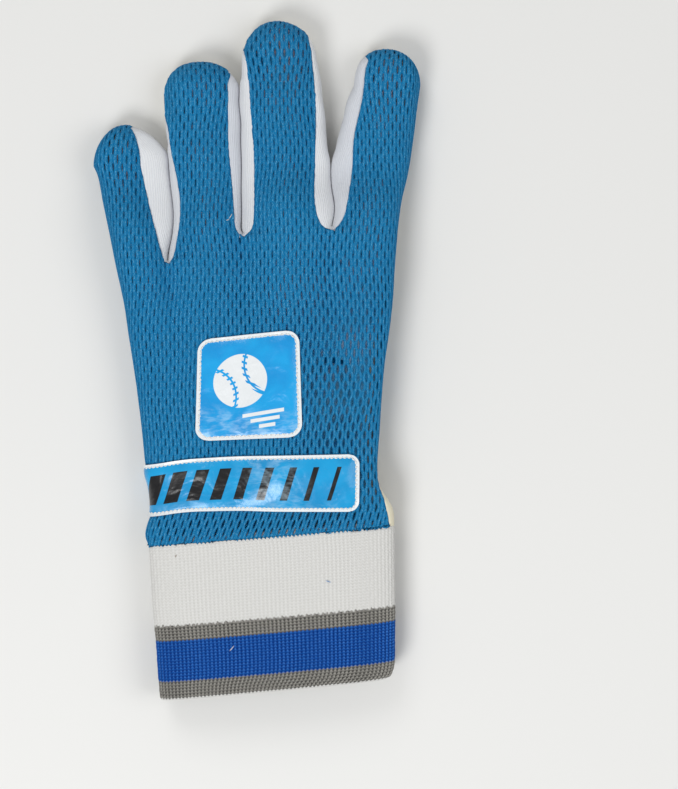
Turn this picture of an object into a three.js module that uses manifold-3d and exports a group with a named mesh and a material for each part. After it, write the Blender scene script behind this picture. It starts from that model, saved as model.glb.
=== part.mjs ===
// Wicketkeeping inner glove, the left one of a pair, lying on its palm with the fingers along +Y.
// Millimetres, +Z up. The origin is under the middle of the glove, on the surface that it lies on.
// Every panel is a thin wall: its outer side comes from the seams between the panels, which are
// given as short tables, and its inner side lies one wall thickness further in.
import * as THREE from 'three';
import Module from 'manifold-3d';

const wasm = await Module();
wasm.setup();
const { lerp, smoothstep, degToRad } = THREE.MathUtils;

// Wall thicknesses, and the gap that stitched panels keep between their edges.
const MESH_WALL = 1.2;
const SUEDE_WALL = 1.2;
const GUSSET_WALL = 1.0;
const CUFF_WALL = 2.2;
const BADGE_WALL = 0.8;
const SEAM_GAP = 0.5;
const BADGE_GAP = 0.5;
const THUMB_GAP = 0.6;

// Heights above the surface that the glove lies on.
const PALM_HEIGHT = 20;
const WRIST_HEIGHT = 16.5;
const THUMB_HEIGHT = 9.7;
const OVER_THUMB = 10.4;
const OVER_STRAP = 3.3;
const OVER_THUMB_LOSS = 0.6;

// The four fingers from the small one to the index, each with its tip, the length of the rounded
// tip and how square that is, its height, where each gusset starts behind the tip, and the plan
// width of the finger and of its mesh back at sections down its length.
const FINGERS = [
  {
    name: 'small', tip: { x: -51.3, y: 90.8 }, dome: 16, squareness: 1.8, height: 15,
    outerSide: 'left', gussetStart: { left: 0, right: 0.5 }, gussetReach: 3,
    rows: [
      { y: 74.5, left: -63.0, seamLeft: -63.0, seamRight: -44.7, right: -34.6 },
      { y: 70.5, left: -61.3, seamLeft: -61.3, seamRight: -43.8, right: -34.4 },
      { y: 61, left: -59.4, seamLeft: -59.4, seamRight: -41.7, right: -34.5 },
      { y: 50, left: -56.9, seamLeft: -56.9, seamRight: -38.8, right: -34.6 },
      { y: 42.5, left: -55.4, seamLeft: -55.4, seamRight: -36.9, right: -34.7 },
      { y: 36.5, left: -54.2, seamLeft: -54.2, seamRight: -36.0, right: -34.7 },
    ],
  },
  {
    name: 'ring', tip: { x: -21.8, y: 115.2 }, dome: 14.6, squareness: 2.3, height: 16.5,
    outerSide: 'none', gussetStart: { left: 21, right: 3.5 }, gussetReach: 7,
    rows: [
      { y: 100.5, left: -35.9, seamLeft: -34.4, seamRight: -11.4, right: -7.3 },
      { y: 92.5, left: -35.4, seamLeft: -34.2, seamRight: -11.0, right: -6.9 },
      { y: 81, left: -34.2, seamLeft: -33.0, seamRight: -10.7, right: -6.8 },
      { y: 72, left: -33.6, seamLeft: -31.1, seamRight: -9.9, right: -6.7 },
      { y: 61, left: -33.6, seamLeft: -29.3, seamRight: -8.9, right: -6.6 },
      { y: 52, left: -33.7, seamLeft: -29.3, seamRight: -8.3, right: -6.2 },
      { y: 44, left: -33.9, seamLeft: -30.6, seamRight: -8.3, right: -6.0 },
    ],
  },
  {
    name: 'middle', tip: { x: 7.6, y: 130.9 }, dome: 16, squareness: 2.0, height: 17.5,
    outerSide: 'none', gussetStart: { left: 7, right: 5 }, gussetReach: 5,
    rows: [
      { y: 115, left: -5.7, seamLeft: -4.1, seamRight: 21.3, right: 23.2 },
      { y: 103, left: -6.2, seamLeft: -2.7, seamRight: 22.4, right: 25.3 },
      { y: 92.5, left: -5.9, seamLeft: -2.2, seamRight: 22.8, right: 26.3 },
      { y: 81, left: -5.8, seamLeft: -1.0, seamRight: 22.6, right: 27.5 },
      { y: 69, left: -5.7, seamLeft: -0.8, seamRight: 22.3, right: 28.0 },
      { y: 61, left: -5.6, seamLeft: -0.7, seamRight: 22.3, right: 28.1 },
      { y: 54, left: -5.4, seamLeft: -0.9, seamRight: 23.4, right: 28.2 },
    ],
  },
  {
    name: 'index', tip: { x: 49.4, y: 120.1 }, dome: 14.6, squareness: 2.1, height: 16.5,
    outerSide: 'right', gussetStart: { left: 2.5, right: 0 }, gussetReach: 3,
    rows: [
      { y: 105.5, left: 37.3, seamLeft: 41.4, seamRight: 63.0, right: 63.0 },
      { y: 98, left: 34.4, seamLeft: 40.3, seamRight: 61.9, right: 61.9 },
      { y: 85, left: 31.3, seamLeft: 37.5, seamRight: 60.3, right: 60.3 },
      { y: 72, left: 29.1, seamLeft: 36.7, seamRight: 58.3, right: 58.3 },
      { y: 61, left: 28.9, seamLeft: 35.2, seamRight: 55.7, right: 55.7 },
      { y: 54, left: 28.9, seamLeft: 33.8, seamRight: 54.6, right: 54.6 },
      { y: 49, left: 28.9, seamLeft: 33.0, seamRight: 54.0, right: 54.0 },
    ],
  },
];

// The forks between the fingers, and how far up each fork its rounded end reaches.
const FORKS = [
  { x: -34.3, y: 36.5, round: 9 },
  { x: -5.1, y: 47.1, round: 6 },
  { x: 28.6, y: 49.0, round: 7 },
];

// Outline of the hand and the cuff below the forks. seamTurn is where the mesh back ends at the
// index side: degrees round the edge, minus below it and plus on top of it.
const BODY_ROWS = [
  { y: 49, left: -56.7, right: 54.0, seamTurn: -42 },
  { y: 36.5, left: -54.2, right: 53.0, seamTurn: -42 },
  { y: 21, left: -50.9, right: 52.0, seamTurn: -42 },
  { y: 10, left: -49.3, right: 50.7, seamTurn: -42 },
  { y: -2, left: -47.4, right: 49.0, seamTurn: -40 },
  { y: -13, left: -45.8, right: 48.0, seamTurn: -36 },
  { y: -27, left: -44.2, right: 47.1, seamTurn: -20 },
  { y: -42, left: -43.7, right: 46.2, seamTurn: -5 },
  { y: -49, left: -42.3, right: 47.4, seamTurn: 12 },
  { y: -57, left: -41.3, right: 52.2, seamTurn: 38 },
  { y: -64, left: -41.9, right: 53.0, seamTurn: 33 },
  { y: -72, left: -41.4, right: 53.0, seamTurn: 20 },
  { y: -96, left: -39.8, right: 53.2, seamTurn: 0 },
  { y: -108, left: -38.6, right: 53.1, seamTurn: 0 },
  { y: -117, left: -38.0, right: 52.9, seamTurn: 0 },
  { y: -121.5, left: -37.7, right: 51.6, seamTurn: 0 },
  { y: -124.5, left: -37.4, right: 48.6, seamTurn: 0 },
  { y: -131, left: -36.8, right: 46.0, seamTurn: 0 },
];
const SMALL_SIDE_TURN = -42;

// Lines across the cuff: its seam to the hand, the steps down it and its open end.
const CUFF_LINES = [
  { left: -71.7, right: -64.0 },
  { left: -82.2, right: -74.6 },
  { left: -92.6, right: -85.3 },
  { left: -102.6, right: -95.9 },
  { left: -113.4, right: -105.6 },
  { left: -123.8, right: -116.1 },
  { left: -128.2, right: -120.6 },
  { left: -131.0, right: -122.9 },
];

// The folded thumb: its axis in plan, its half width at the base, the middle and the tip, the
// lengths of its rounded ends, and the oval opening to it in the palm.
const THUMB = {
  base: { x: 25.5, y: -45 }, tip: { x: 33.0, y: 42 },
  halfBase: 14.5, halfMiddle: 16.8, halfTip: 12.5,
  roundBase: 20, roundTip: 15, seam: 0.78,
  openUntil: 0.5, closedFrom: 0.62,
};
const THUMB_HOLE = { along: 25, halfLength: 21, halfWidth: 12.6, sides: 36 };

// The closing strap under the cuff: a sewn tab and the flap that closes on it.
const STRAP = { x: -2.4, y: -111.4, width: 68, depth: 29, thick: 2.8, tilt: 5, corner: 5.5, tab: 19 };

// The two badges on the back: their middle, size, corner radius and tilt in plan.
const SQUARE_BADGE = { x: -2.8, y: -10.5, width: 40.4, height: 41.2, corner: 5, tilt: 3.2 };
const BAR_BADGE = { end: 39.2, y: -48.3, height: 21.6, corner: 4, slope: 0.042, wrapTurn: -34 };

// Shape of the sections.
const SEAM_LEVEL = 0.55;
const EDGE_POWER = 2 / 2.4;
const CAP_WIDTH = 14;
const HALF_COLUMNS = 3;
const TOP_POWER = 3;
const PALM_POWER = 5;
const PALM_HALF_COLUMNS = 4;
const WRAP_COLUMNS = 2;
const GUSSET_COLUMNS = 4;
const LEAST_GUSSET = 0.2;
const BODY_STEPS = 12;
const TIP_SEAM = 19;

// Reads one column of a table at a given y, on a smooth curve through its rows.
function read(rows, key, y) {
  const last = rows.length - 1;
  if (y >= rows[0].y) return rows[0][key];
  if (y <= rows[last].y) return rows[last][key];
  let i = 0;
  while (y < rows[i + 1].y) i += 1;
  const a = rows[i];
  const b = rows[i + 1];
  const before = rows[Math.max(i - 1, 0)];
  const after = rows[Math.min(i + 2, last)];
  const span = b.y - a.y;
  const slopeA = ((b[key] - before[key]) / (b.y - before.y)) * span;
  const slopeB = ((after[key] - a[key]) / (after.y - a.y)) * span;
  const t = (y - a.y) / span;
  const t2 = t * t;
  const t3 = t2 * t;
  return a[key] * (2 * t3 - 3 * t2 + 1) + slopeA * (t3 - 2 * t2 + t)
    + b[key] * (3 * t2 - 2 * t3) + slopeB * (t3 - t2);
}

// Rounded end: 0 at the very end and 1 from length onwards.
function dome(distance, length, power = 2) {
  const rest = 1 - Math.min(Math.max(distance / length, 0), 1);
  return (1 - rest ** power) ** (1 / power);
}

// How much the palm is lifted off the surface by the folded thumb, and by the strap at the cuff.
function thumbLift(x, y) {
  const across = smoothstep(x, -8, 12);
  const along = (1 - smoothstep(y, 46, 76)) * smoothstep(y, -68, -47);
  return OVER_THUMB * across * along;
}

function undersideHeight(x, y) {
  const lift = thumbLift(x, y);
  const strap = OVER_STRAP * (1 - smoothstep(y, -68, -45));
  return lift + strap * (1 - lift / OVER_THUMB);
}

function handHeight(x, y) {
  const wrist = 1 - smoothstep(y, -68, -42);
  const plain = lerp(PALM_HEIGHT, WRIST_HEIGHT, wrist);
  return plain - OVER_THUMB_LOSS * thumbLift(x, y);
}

// Level of the hand's section at a fraction across it: 0 at its edges, 1 at the top, -1 below.
function sectionLevel(fraction, upper) {
  const power = upper ? TOP_POWER : PALM_POWER;
  const level = (1 - Math.min(Math.abs(2 * fraction - 1), 1) ** power) ** (1 / power);
  return upper ? level : -level;
}

function handZ(x, y, level) {
  return undersideHeight(x, y) + handHeight(x, y) * 0.5 * (1 + level);
}

function fractionAt(x, y) {
  const left = read(BODY_ROWS, 'left', y);
  return (x - left) / (read(BODY_ROWS, 'right', y) - left);
}

// A set of surface patches that share their seams. Each piece of it becomes a thin closed wall.
class Skin {
  constructor() {
    this.points = [];
    this.faces = [];
  }

  vertex(x, y, z) {
    this.points.push(new THREE.Vector3(x, y, z));
    return this.points.length - 1;
  }

  face(piece, ...corners) {
    const ids = corners.filter((id, i) => corners.indexOf(id) === i);
    if (ids.length > 2) this.faces.push({ piece, ids });
  }

  // Joins two lines of vertices; the outer side is on the right of the way from one line to the next.
  band(piece, from, to) {
    for (let i = 0; i + 1 < from.length; i += 1) {
      this.face(piece, from[i], from[i + 1], to[i + 1], to[i]);
    }
  }

  fan(piece, from, point) {
    for (let i = 0; i + 1 < from.length; i += 1) this.face(piece, from[i], from[i + 1], point);
  }

  normals() {
    const sums = this.points.map(() => new THREE.Vector3());
    for (const { ids } of this.faces) {
      const first = this.points[ids[0]];
      const area = new THREE.Vector3();
      for (let i = 1; i + 1 < ids.length; i += 1) {
        const a = this.points[ids[i]].clone().sub(first);
        area.add(a.cross(this.points[ids[i + 1]].clone().sub(first)));
      }
      ids.forEach((id) => sums[id].add(area));
    }
    return sums.map((sum) => sum.normalize());
  }

  // The wall of one piece, from outward above the surface to thickness below that, with its free
  // edges drawn in by half the seam gap.
  wall(piece, thickness, outward = 0) {
    const normals = this.normals();
    const faces = this.faces.filter((face) => face.piece === piece);
    const edges = new Map();
    const pull = new Map();
    for (const { ids } of faces) {
      const middle = new THREE.Vector3();
      ids.forEach((id) => middle.addScaledVector(this.points[id], 1 / ids.length));
      ids.forEach((id, i) => {
        const next = ids[(i + 1) % ids.length];
        edges.set(`${id} ${next}`, [id, next]);
        const towards = middle.clone().sub(this.points[id]);
        pull.set(id, (pull.get(id) ?? new THREE.Vector3()).add(towards));
      });
    }
    const rims = [...edges.values()].filter(([a, b]) => !edges.has(`${b} ${a}`));
    const onRim = new Set(rims.flat());
    const slots = new Map([...pull.keys()].map((id, i) => [id, i]));
    const count = slots.size;
    const positions = new Float32Array(count * 6);
    for (const [id, slot] of slots) {
      const outer = this.points[id].clone().addScaledVector(normals[id], outward);
      if (onRim.has(id)) {
        const way = pull.get(id).projectOnPlane(normals[id]);
        const step = Math.min(SEAM_GAP / 2, way.length() / 4);
        outer.addScaledVector(way.normalize(), step);
      }
      const inner = outer.clone().addScaledVector(normals[id], -thickness);
      outer.toArray(positions, slot * 3);
      inner.toArray(positions, (slot + count) * 3);
    }
    const index = [];
    for (const { ids } of faces) {
      const s = ids.map((id) => slots.get(id));
      for (let i = 1; i + 1 < s.length; i += 1) {
        index.push(s[0], s[i], s[i + 1]);
        index.push(s[0] + count, s[i + 1] + count, s[i] + count);
      }
    }
    for (const [a, b] of rims) {
      const p = slots.get(a);
      const q = slots.get(b);
      index.push(q, p, p + count, q, p + count, q + count);
    }
    const geometry = new THREE.BufferGeometry();
    geometry.setAttribute('position', new THREE.BufferAttribute(positions, 3));
    geometry.setIndex(index);
    return geometry;
  }
}

// The plan widths of a finger at y: its two sides and the two seams of its mesh back.
function fingerWidths(finger, number, y) {
  const behind = finger.tip.y - y;
  const start = finger.tip.y - finger.dome;
  const round = dome(behind, finger.dome, finger.squareness);
  const at = (key) => lerp(finger.tip.x, read(finger.rows, key, Math.min(y, start)), round);
  const widths = {};
  for (const side of ['left', 'right']) {
    const isOuter = finger.outerSide === side;
    const fork = side === 'left' ? FORKS[number - 1] : FORKS[number];
    const seamKey = side === 'left' ? 'seamLeft' : 'seamRight';
    const open = smoothstep(behind, finger.gussetStart[side],
      finger.gussetStart[side] + finger.gussetReach);
    let edge = at(side);
    let seam = lerp(edge, at(seamKey), open);
    if (!isOuter) {
      const rounded = dome(y - fork.y, fork.round);
      edge = lerp(fork.x, edge, dome(y - fork.y, fork.round / 2));
      seam = lerp(fork.x, seam, rounded);
    }
    widths[side] = { edge, seam: isOuter ? edge : seam, open: isOuter ? 0 : open, isOuter, fork };
  }
  return widths;
}

// Distances from the tip, as fractions of the finger's length, of the sections down a finger.
function fingerSteps(finger, length) {
  const behind = [0.03, 0.17, 0.5, 1].map((part) => part * finger.dome);
  behind.push(TIP_SEAM);
  const nearFork = [length - 6, length - 2.4, length];
  const middleSteps = 5;
  for (let i = 1; i <= middleSteps; i += 1) {
    behind.push(lerp(TIP_SEAM, length - 6, i / (middleSteps + 1)));
  }
  return [...behind, ...nearFork].map((distance) => distance / length).reverse();
}

// One ring round a finger, from its left lower seam over the top to its right lower seam, and back
// underneath. Returns the vertex lines top, left, right and bottom, each from left to right or down.
function fingerRing(skin, finger, number, step, forkLines) {
  const widths = {};
  const ys = {};
  for (const side of ['left', 'right']) {
    const fork = side === 'left' ? FORKS[number - 1] : FORKS[number];
    const foot = fork ? fork.y : (FORKS[number] ?? FORKS[number - 1]).y;
    ys[side] = finger.tip.y + (foot - finger.tip.y) * step;
    widths[side] = fingerWidths(finger, number, ys[side])[side];
  }
  const behind = finger.tip.y - (ys.left + ys.right) / 2;
  const flat = dome(behind, finger.dome * 0.8);
  const bodyShare = smoothstep(behind, finger.tip.y - FORKS[1].y - 22, finger.tip.y - FORKS[1].y);
  const place = (x, y, level) => {
    const share = step === 1 ? 1 : bodyShare;
    const height = lerp(finger.height, handHeight(x, y), share);
    const middle = 0.34 + 0.16 * flat;
    return skin.vertex(x, y, undersideHeight(x, y) + height * (middle + 0.5 * level * flat));
  };
  const centre = (widths.left.seam + widths.right.seam) / 2;
  const yAt = (t) => lerp(ys.left, ys.right, (t + 1) / 2);
  const half = (side, upper) => {
    const { edge, seam, open, isOuter } = widths[side];
    const sign = side === 'left' ? -1 : 1;
    const line = [];
    const columns = isOuter && !upper ? PALM_HALF_COLUMNS : HALF_COLUMNS;
    for (let j = 0; j < columns; j += 1) {
      const t = 1 - j / columns;
      if (isOuter) {
        const turn = degToRad(upper ? 90 * (1 - t) : lerp(SMALL_SIDE_TURN, -90, 1 - t));
        const x = centre + (edge - centre) * Math.cos(turn) ** EDGE_POWER;
        const level = Math.sign(turn) * Math.abs(Math.sin(turn)) ** EDGE_POWER;
        line.push([x, yAt(sign * t), level]);
      } else {
        const rise = SEAM_LEVEL * Math.sqrt(open);
        const level = rise + (1 - rise) * (1 - t ** (upper ? 2.2 : 4));
        line.push([lerp(centre, seam, t), yAt(sign * t), upper ? level : -level]);
      }
    }
    return line;
  };
  const ring = {};
  for (const upper of [true, false]) {
    const left = half('left', upper);
    const right = half('right', upper).reverse();
    const middle = [centre, yAt(0), upper ? 1 : -1];
    ring[upper ? 'top' : 'bottom'] = [...left, middle, ...right].map((p) => place(...p));
  }
  for (const side of ['left', 'right']) {
    const { edge, seam, open, isOuter, fork } = widths[side];
    const end = side === 'left' ? 0 : ring.top.length - 1;
    const palmEnd = side === 'left' ? 0 : ring.bottom.length - 1;
    const line = [];
    if (isOuter) {
      for (let j = 1; j < WRAP_COLUMNS; j += 1) {
        const turn = degToRad(SMALL_SIDE_TURN * j / WRAP_COLUMNS);
        const x = centre + (edge - centre) * Math.cos(turn) ** EDGE_POWER;
        line.push(place(x, ys[side], -(Math.abs(Math.sin(turn)) ** EDGE_POWER)));
      }
    } else if (open < LEAST_GUSSET) {
      const tipEdge = place(edge, ys[side], 0);
      ring.top[end] = tipEdge;
      ring.bottom[palmEnd] = tipEdge;
    } else if (step === 1 && forkLines.has(fork)) {
      const shared = forkLines.get(fork);
      ring.top[end] = shared[0];
      ring.bottom[palmEnd] = shared[shared.length - 1];
      line.push(...shared.slice(1, -1));
    } else {
      const tuck = 1.2 * smoothstep(step, 0.95, 1);
      for (let j = 1; j < GUSSET_COLUMNS; j += 1) {
        const turn = Math.PI * j / GUSSET_COLUMNS;
        const x = lerp(seam, edge, Math.sin(turn));
        const y = ys[side] + tuck * Math.sin(turn);
        line.push(place(x, y, SEAM_LEVEL * Math.sqrt(open) * Math.cos(turn)));
      }
    }
    ring[side] = [ring.top[end], ...line, ring.bottom[palmEnd]];
    if (step === 1 && !isOuter) forkLines.set(fork, ring[side]);
  }
  ring.pole = () => place(finger.tip.x, finger.tip.y, 0);
  return ring;
}

// All of the hand: mesh back, suede palm with its fingertip patches, and the three gussets.
function handSkin() {
  const skin = new Skin();
  const forkLines = new Map();
  const bases = [];
  FINGERS.forEach((finger, number) => {
    const before = FORKS[number - 1] ?? FORKS[0];
    const after = FORKS[number] ?? FORKS[FORKS.length - 1];
    const foot = (before.y + after.y) / 2;
    const length = finger.tip.y - foot;
    const steps = fingerSteps(finger, length);
    const rings = steps.map((step) => fingerRing(skin, finger, number, step, forkLines));
    const pole = rings[rings.length - 1].pole();
    const palmSteps = steps.filter((step) => step * length > TIP_SEAM - 0.01).length;
    rings.forEach((ring, i) => {
      const next = rings[i + 1] ?? {
        top: ring.top.map(() => pole), bottom: ring.bottom.map(() => pole),
        left: ring.left.map(() => pole), right: ring.right.map(() => pole),
      };
      const palm = i + 1 < palmSteps ? 'palm_panel' : `${finger.name}_fingertip_patch`;
      skin.band('back_panel', ring.top, next.top);
      skin.band(palm, [...ring.bottom].reverse(), [...next.bottom].reverse());
      for (const side of ['left', 'right']) {
        const isOuter = finger.outerSide === side;
        const gusset = FINGERS[side === 'left' ? number - 1 : number];
        const piece = isOuter ? 'back_panel' : `${gusset.name}_side_gusset`;
        const from = side === 'left' ? [...ring.left].reverse() : ring.right;
        const to = side === 'left' ? [...next.left].reverse() : next.right;
        if (from.length === to.length) skin.band(piece, from, to);
        else if (from.length > 2) skin.fan(piece, from, to[0]);
      }
    });
    bases.push(rings[0]);
  });
  addHandBody(skin, bases);
  return skin;
}

// The lines of vertices across the hand, from the finger bases down to the cuff and along it.
function addHandBody(skin, bases) {
  const join = (key) => bases.flatMap((ring, i) => (i ? ring[key].slice(1) : ring[key]));
  const loop = (left, top, right, bottom) => ({ left, top, right, bottom });
  const knuckles = loop(bases[0].left, join('top'), bases.at(-1).right, join('bottom'));
  const describe = (id) => {
    const p = skin.points[id];
    const level = 2 * (p.z - undersideHeight(p.x, p.y)) / handHeight(p.x, p.y) - 1;
    return { fraction: fractionAt(p.x, p.y), y: p.y, level };
  };
  const line = (ids, upper, yOf, share, turnOf) => ids.map((id, i) => {
    const from = describe(id);
    const fromEnd = Math.min(i, ids.length - 1 - i);
    const isLeft = i < ids.length / 2;
    const y = yOf(from);
    const left = read(BODY_ROWS, 'left', y);
    const right = read(BODY_ROWS, 'right', y);
    let { fraction } = from;
    let isUpper = upper;
    const turn = turnOf(i, fromEnd, isLeft, y);
    if (turn !== null) {
      const inset = CAP_WIDTH * (1 - Math.cos(degToRad(turn)) ** EDGE_POWER) / (right - left);
      fraction = isLeft ? inset : 1 - inset;
      isUpper = turn > 0;
    }
    const level = lerp(sectionLevel(fraction, isUpper), from.level, share);
    const x = lerp(left, right, fraction);
    return skin.vertex(x, y, handZ(x, y, level));
  });
  const seamTurn = (isLeft, y) => (isLeft ? SMALL_SIDE_TURN : read(BODY_ROWS, 'seamTurn', y));
  const backSteps = HALF_COLUMNS + WRAP_COLUMNS;
  const backTurn = (steps, isLeft, y) => lerp(90, seamTurn(isLeft, y), steps / backSteps);
  const makeRow = (yOf, share) => {
    const topTurn = (i, fromEnd, isLeft, y) => (fromEnd < HALF_COLUMNS
      ? backTurn(HALF_COLUMNS - fromEnd, isLeft, y) : null);
    const palmTurn = (i, fromEnd, isLeft, y) => (fromEnd < PALM_HALF_COLUMNS
      ? lerp(seamTurn(isLeft, y), -90, fromEnd / PALM_HALF_COLUMNS) : null);
    const top = line(knuckles.top, true, yOf, share, topTurn);
    const bottom = line(knuckles.bottom, false, yOf, share, palmTurn);
    const sides = {};
    for (const side of ['left', 'right']) {
      const isLeft = side === 'left';
      const wrap = knuckles[side].slice(1, -1);
      const wrapTurn = (y, j) => backTurn(HALF_COLUMNS + j + 1, isLeft, y);
      const ids = wrap.map((id, j) => {
        const y = yOf(describe(id));
        const left = read(BODY_ROWS, 'left', y);
        const right = read(BODY_ROWS, 'right', y);
        const turn = wrapTurn(y, j);
        const inset = CAP_WIDTH * (1 - Math.cos(degToRad(turn)) ** EDGE_POWER) / (right - left);
        const fraction = isLeft ? inset : 1 - inset;
        const level = lerp(sectionLevel(fraction, turn > 0), describe(id).level, share);
        const x = lerp(left, right, fraction);
        return skin.vertex(x, y, handZ(x, y, level));
      });
      const end = isLeft ? 0 : -1;
      sides[side] = [top.at(end), ...ids, bottom.at(end)];
    }
    return loop(sides.left, top, sides.right, bottom);
  };
  const cuffY = (cuffLine, fraction) => lerp(cuffLine.left, cuffLine.right, fraction);
  const rows = [knuckles];
  for (let i = 1; i <= BODY_STEPS; i += 1) {
    const down = i / BODY_STEPS;
    const share = 1 - smoothstep(down, 0, 0.38);
    rows.push(makeRow((p) => lerp(p.y, cuffY(CUFF_LINES[0], p.fraction), down), share));
  }
  const handRows = rows.length;
  for (const cuffLine of CUFF_LINES.slice(1)) {
    rows.push(makeRow((p) => cuffY(cuffLine, p.fraction), 0));
  }
  for (let i = 1; i < rows.length; i += 1) {
    const isHand = i < handRows;
    const lower = rows[i];
    const upper = rows[i - 1];
    const back = isHand ? 'back_panel' : 'ribbed_cuff';
    const palm = isHand ? 'palm_panel' : 'ribbed_cuff';
    skin.band(back, lower.top, upper.top);
    skin.band(back, [...lower.left].reverse(), [...upper.left].reverse());
    skin.band(back, lower.right, upper.right);
    skin.band(palm, [...lower.bottom].reverse(), [...upper.bottom].reverse());
  }
}

// The underside of the palm at a point in plan.
function palmUnderside(x, y) {
  return handZ(x, y, sectionLevel(fractionAt(x, y), false));
}

// The thumb, folded flat under the palm: a suede front facing down and a mesh back facing the palm.
function thumbSkin() {
  const skin = new Skin();
  const base = new THREE.Vector2(THUMB.base.x, THUMB.base.y);
  const axis = new THREE.Vector2(THUMB.tip.x, THUMB.tip.y).sub(base);
  const length = axis.length();
  axis.normalize();
  const at = (along, across) => [
    base.x + axis.x * along + axis.y * across,
    base.y + axis.y * along - axis.x * across,
  ];
  const halfWidth = (along) => {
    const s = along / length;
    const plain = s < 0.5 ? lerp(THUMB.halfBase, THUMB.halfMiddle, 2 * s)
      : lerp(THUMB.halfMiddle, THUMB.halfTip, 2 * s - 1);
    return plain * dome(along, THUMB.roundBase) * dome(length - along, THUMB.roundTip, 2.2);
  };
  const lowerParts = [0, 0.1, 0.2, 0.3, 0.4, 0.5, 0.6, 0.7, THUMB.seam, 0.89, 1];
  const seamColumn = lowerParts.indexOf(THUMB.seam);
  const upperSteps = 8;
  const ring = (along) => {
    const half = halfWidth(along);
    const s = along / length;
    const closed = smoothstep(s, THUMB.openUntil, THUMB.closedFrom);
    const tipFlat = dome(length - along, 12);
    const baseFlat = dome(along, 14);
    const full = THUMB_HEIGHT * lerp(0.42, 1, tipFlat);
    const rim = (x, y) => lerp(palmUnderside(x, y) - THUMB_GAP, lerp(4, THUMB_HEIGHT / 2, tipFlat), closed);
    const lower = lowerParts.map((part) => {
      const turn = Math.PI * part;
      const [x, y] = at(along, -half * Math.sign(Math.cos(turn)) * Math.abs(Math.cos(turn)) ** 0.8);
      const depth = Math.sin(turn) ** 0.8 * tipFlat * baseFlat;
      return skin.vertex(x, y, rim(x, y) * (1 - depth));
    });
    const upper = [];
    for (let j = 1; j < upperSteps; j += 1) {
      const turn = Math.PI * j / upperSteps;
      const [x, y] = at(along, half * Math.sign(Math.cos(turn)) * Math.abs(Math.cos(turn)) ** 0.8);
      const low = rim(x, y);
      upper.push(skin.vertex(x, y, lerp(low, Math.max(full, low), Math.sin(turn) ** 0.8 * tipFlat)));
    }
    return { lower, upper: [lower[lower.length - 1], ...upper, lower[0]], s };
  };
  const ends = [1, 3, 8, 14];
  const alongs = [...ends];
  const middleSteps = 9;
  for (let i = 1; i <= middleSteps; i += 1) {
    alongs.push(lerp(14, length - 12, i / middleSteps));
  }
  alongs.push(length - 7, length - 3, length - 1);
  const rings = alongs.map(ring);
  const [baseX, baseY] = at(0, 0);
  const basePole = skin.vertex(baseX, baseY, palmUnderside(baseX, baseY) - THUMB_GAP);
  const tipPole = skin.vertex(THUMB.tip.x, THUMB.tip.y, 4);
  const pole = (id, like) => ({ lower: like.lower.map(() => id), upper: like.upper.map(() => id), s: 0 });
  const all = [pole(basePole, rings[0]), ...rings, { ...pole(tipPole, rings[0]), s: 1 }];
  for (let i = 0; i + 1 < all.length; i += 1) {
    const from = [...all[i].lower].reverse();
    const to = [...all[i + 1].lower].reverse();
    const split = lowerParts.length - seamColumn;
    skin.band('thumb_back', from.slice(0, split), to.slice(0, split));
    skin.band('thumb_front', from.slice(split - 1), to.slice(split - 1));
    if (all[i].s >= THUMB.openUntil - 0.02 && all[i].s > 0) {
      skin.band('thumb_back', [...all[i].upper].reverse(), [...all[i + 1].upper].reverse());
    }
  }
  return { skin, at };
}

// Subtracts the oval opening to the thumb from the palm.
function cutThumbHole(geometry, at) {
  const shape = new THREE.Shape();
  for (let i = 0; i < THUMB_HOLE.sides; i += 1) {
    const turn = 2 * Math.PI * i / THUMB_HOLE.sides;
    const along = THUMB_HOLE.along + THUMB_HOLE.halfLength * Math.cos(turn);
    const [x, y] = at(along, -THUMB_HOLE.halfWidth * Math.sin(turn));
    if (i === 0) shape.moveTo(x, y);
    else shape.lineTo(x, y);
  }
  const cutter = new THREE.ExtrudeGeometry(shape, { depth: OVER_THUMB + 5, bevelEnabled: false });
  cutter.translate(0, 0, 1);
  const cut = toManifold(geometry).subtract(toManifold(cutter)).getMesh();
  const result = new THREE.BufferGeometry();
  result.setAttribute('position', new THREE.BufferAttribute(new Float32Array(cut.vertProperties), 3));
  result.setIndex(Array.from(cut.triVerts));
  return result;
}

function toManifold(geometry) {
  const source = geometry.attributes.position;
  const order = geometry.index ? Array.from(geometry.index.array) : [...Array(source.count).keys()];
  const known = new Map();
  const vertices = [];
  const triangles = order.map((i) => {
    const point = [source.getX(i), source.getY(i), source.getZ(i)];
    const key = point.map((value) => value.toFixed(5)).join(' ');
    if (!known.has(key)) {
      known.set(key, vertices.length / 3);
      vertices.push(...point);
    }
    return known.get(key);
  });
  return new wasm.Manifold(new wasm.Mesh({
    numProp: 3, vertProperties: new Float32Array(vertices), triVerts: new Uint32Array(triangles),
  }));
}

// How far a rounded corner draws in the end of a strip, at a height off its middle line.
function cornerInset(offset, halfHeight, corner) {
  const over = Math.max(Math.abs(offset) - (halfHeight - corner), 0);
  return corner - Math.sqrt(Math.max(corner * corner - over * over, 0));
}

// The offsets of the lines that a badge is made of, closer together at its rounded corners.
function badgeLines(halfHeight, corner) {
  const inner = halfHeight - corner;
  const ends = [1, 0.92, 0.62, 0].map((part) => inner + corner * part);
  return [...ends.map((v) => -v), -inner / 3, inner / 3, ...ends.reverse()].sort((a, b) => a - b);
}

function backZ(x, y) {
  return handZ(x, y, sectionLevel(fractionAt(x, y), true));
}

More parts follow.
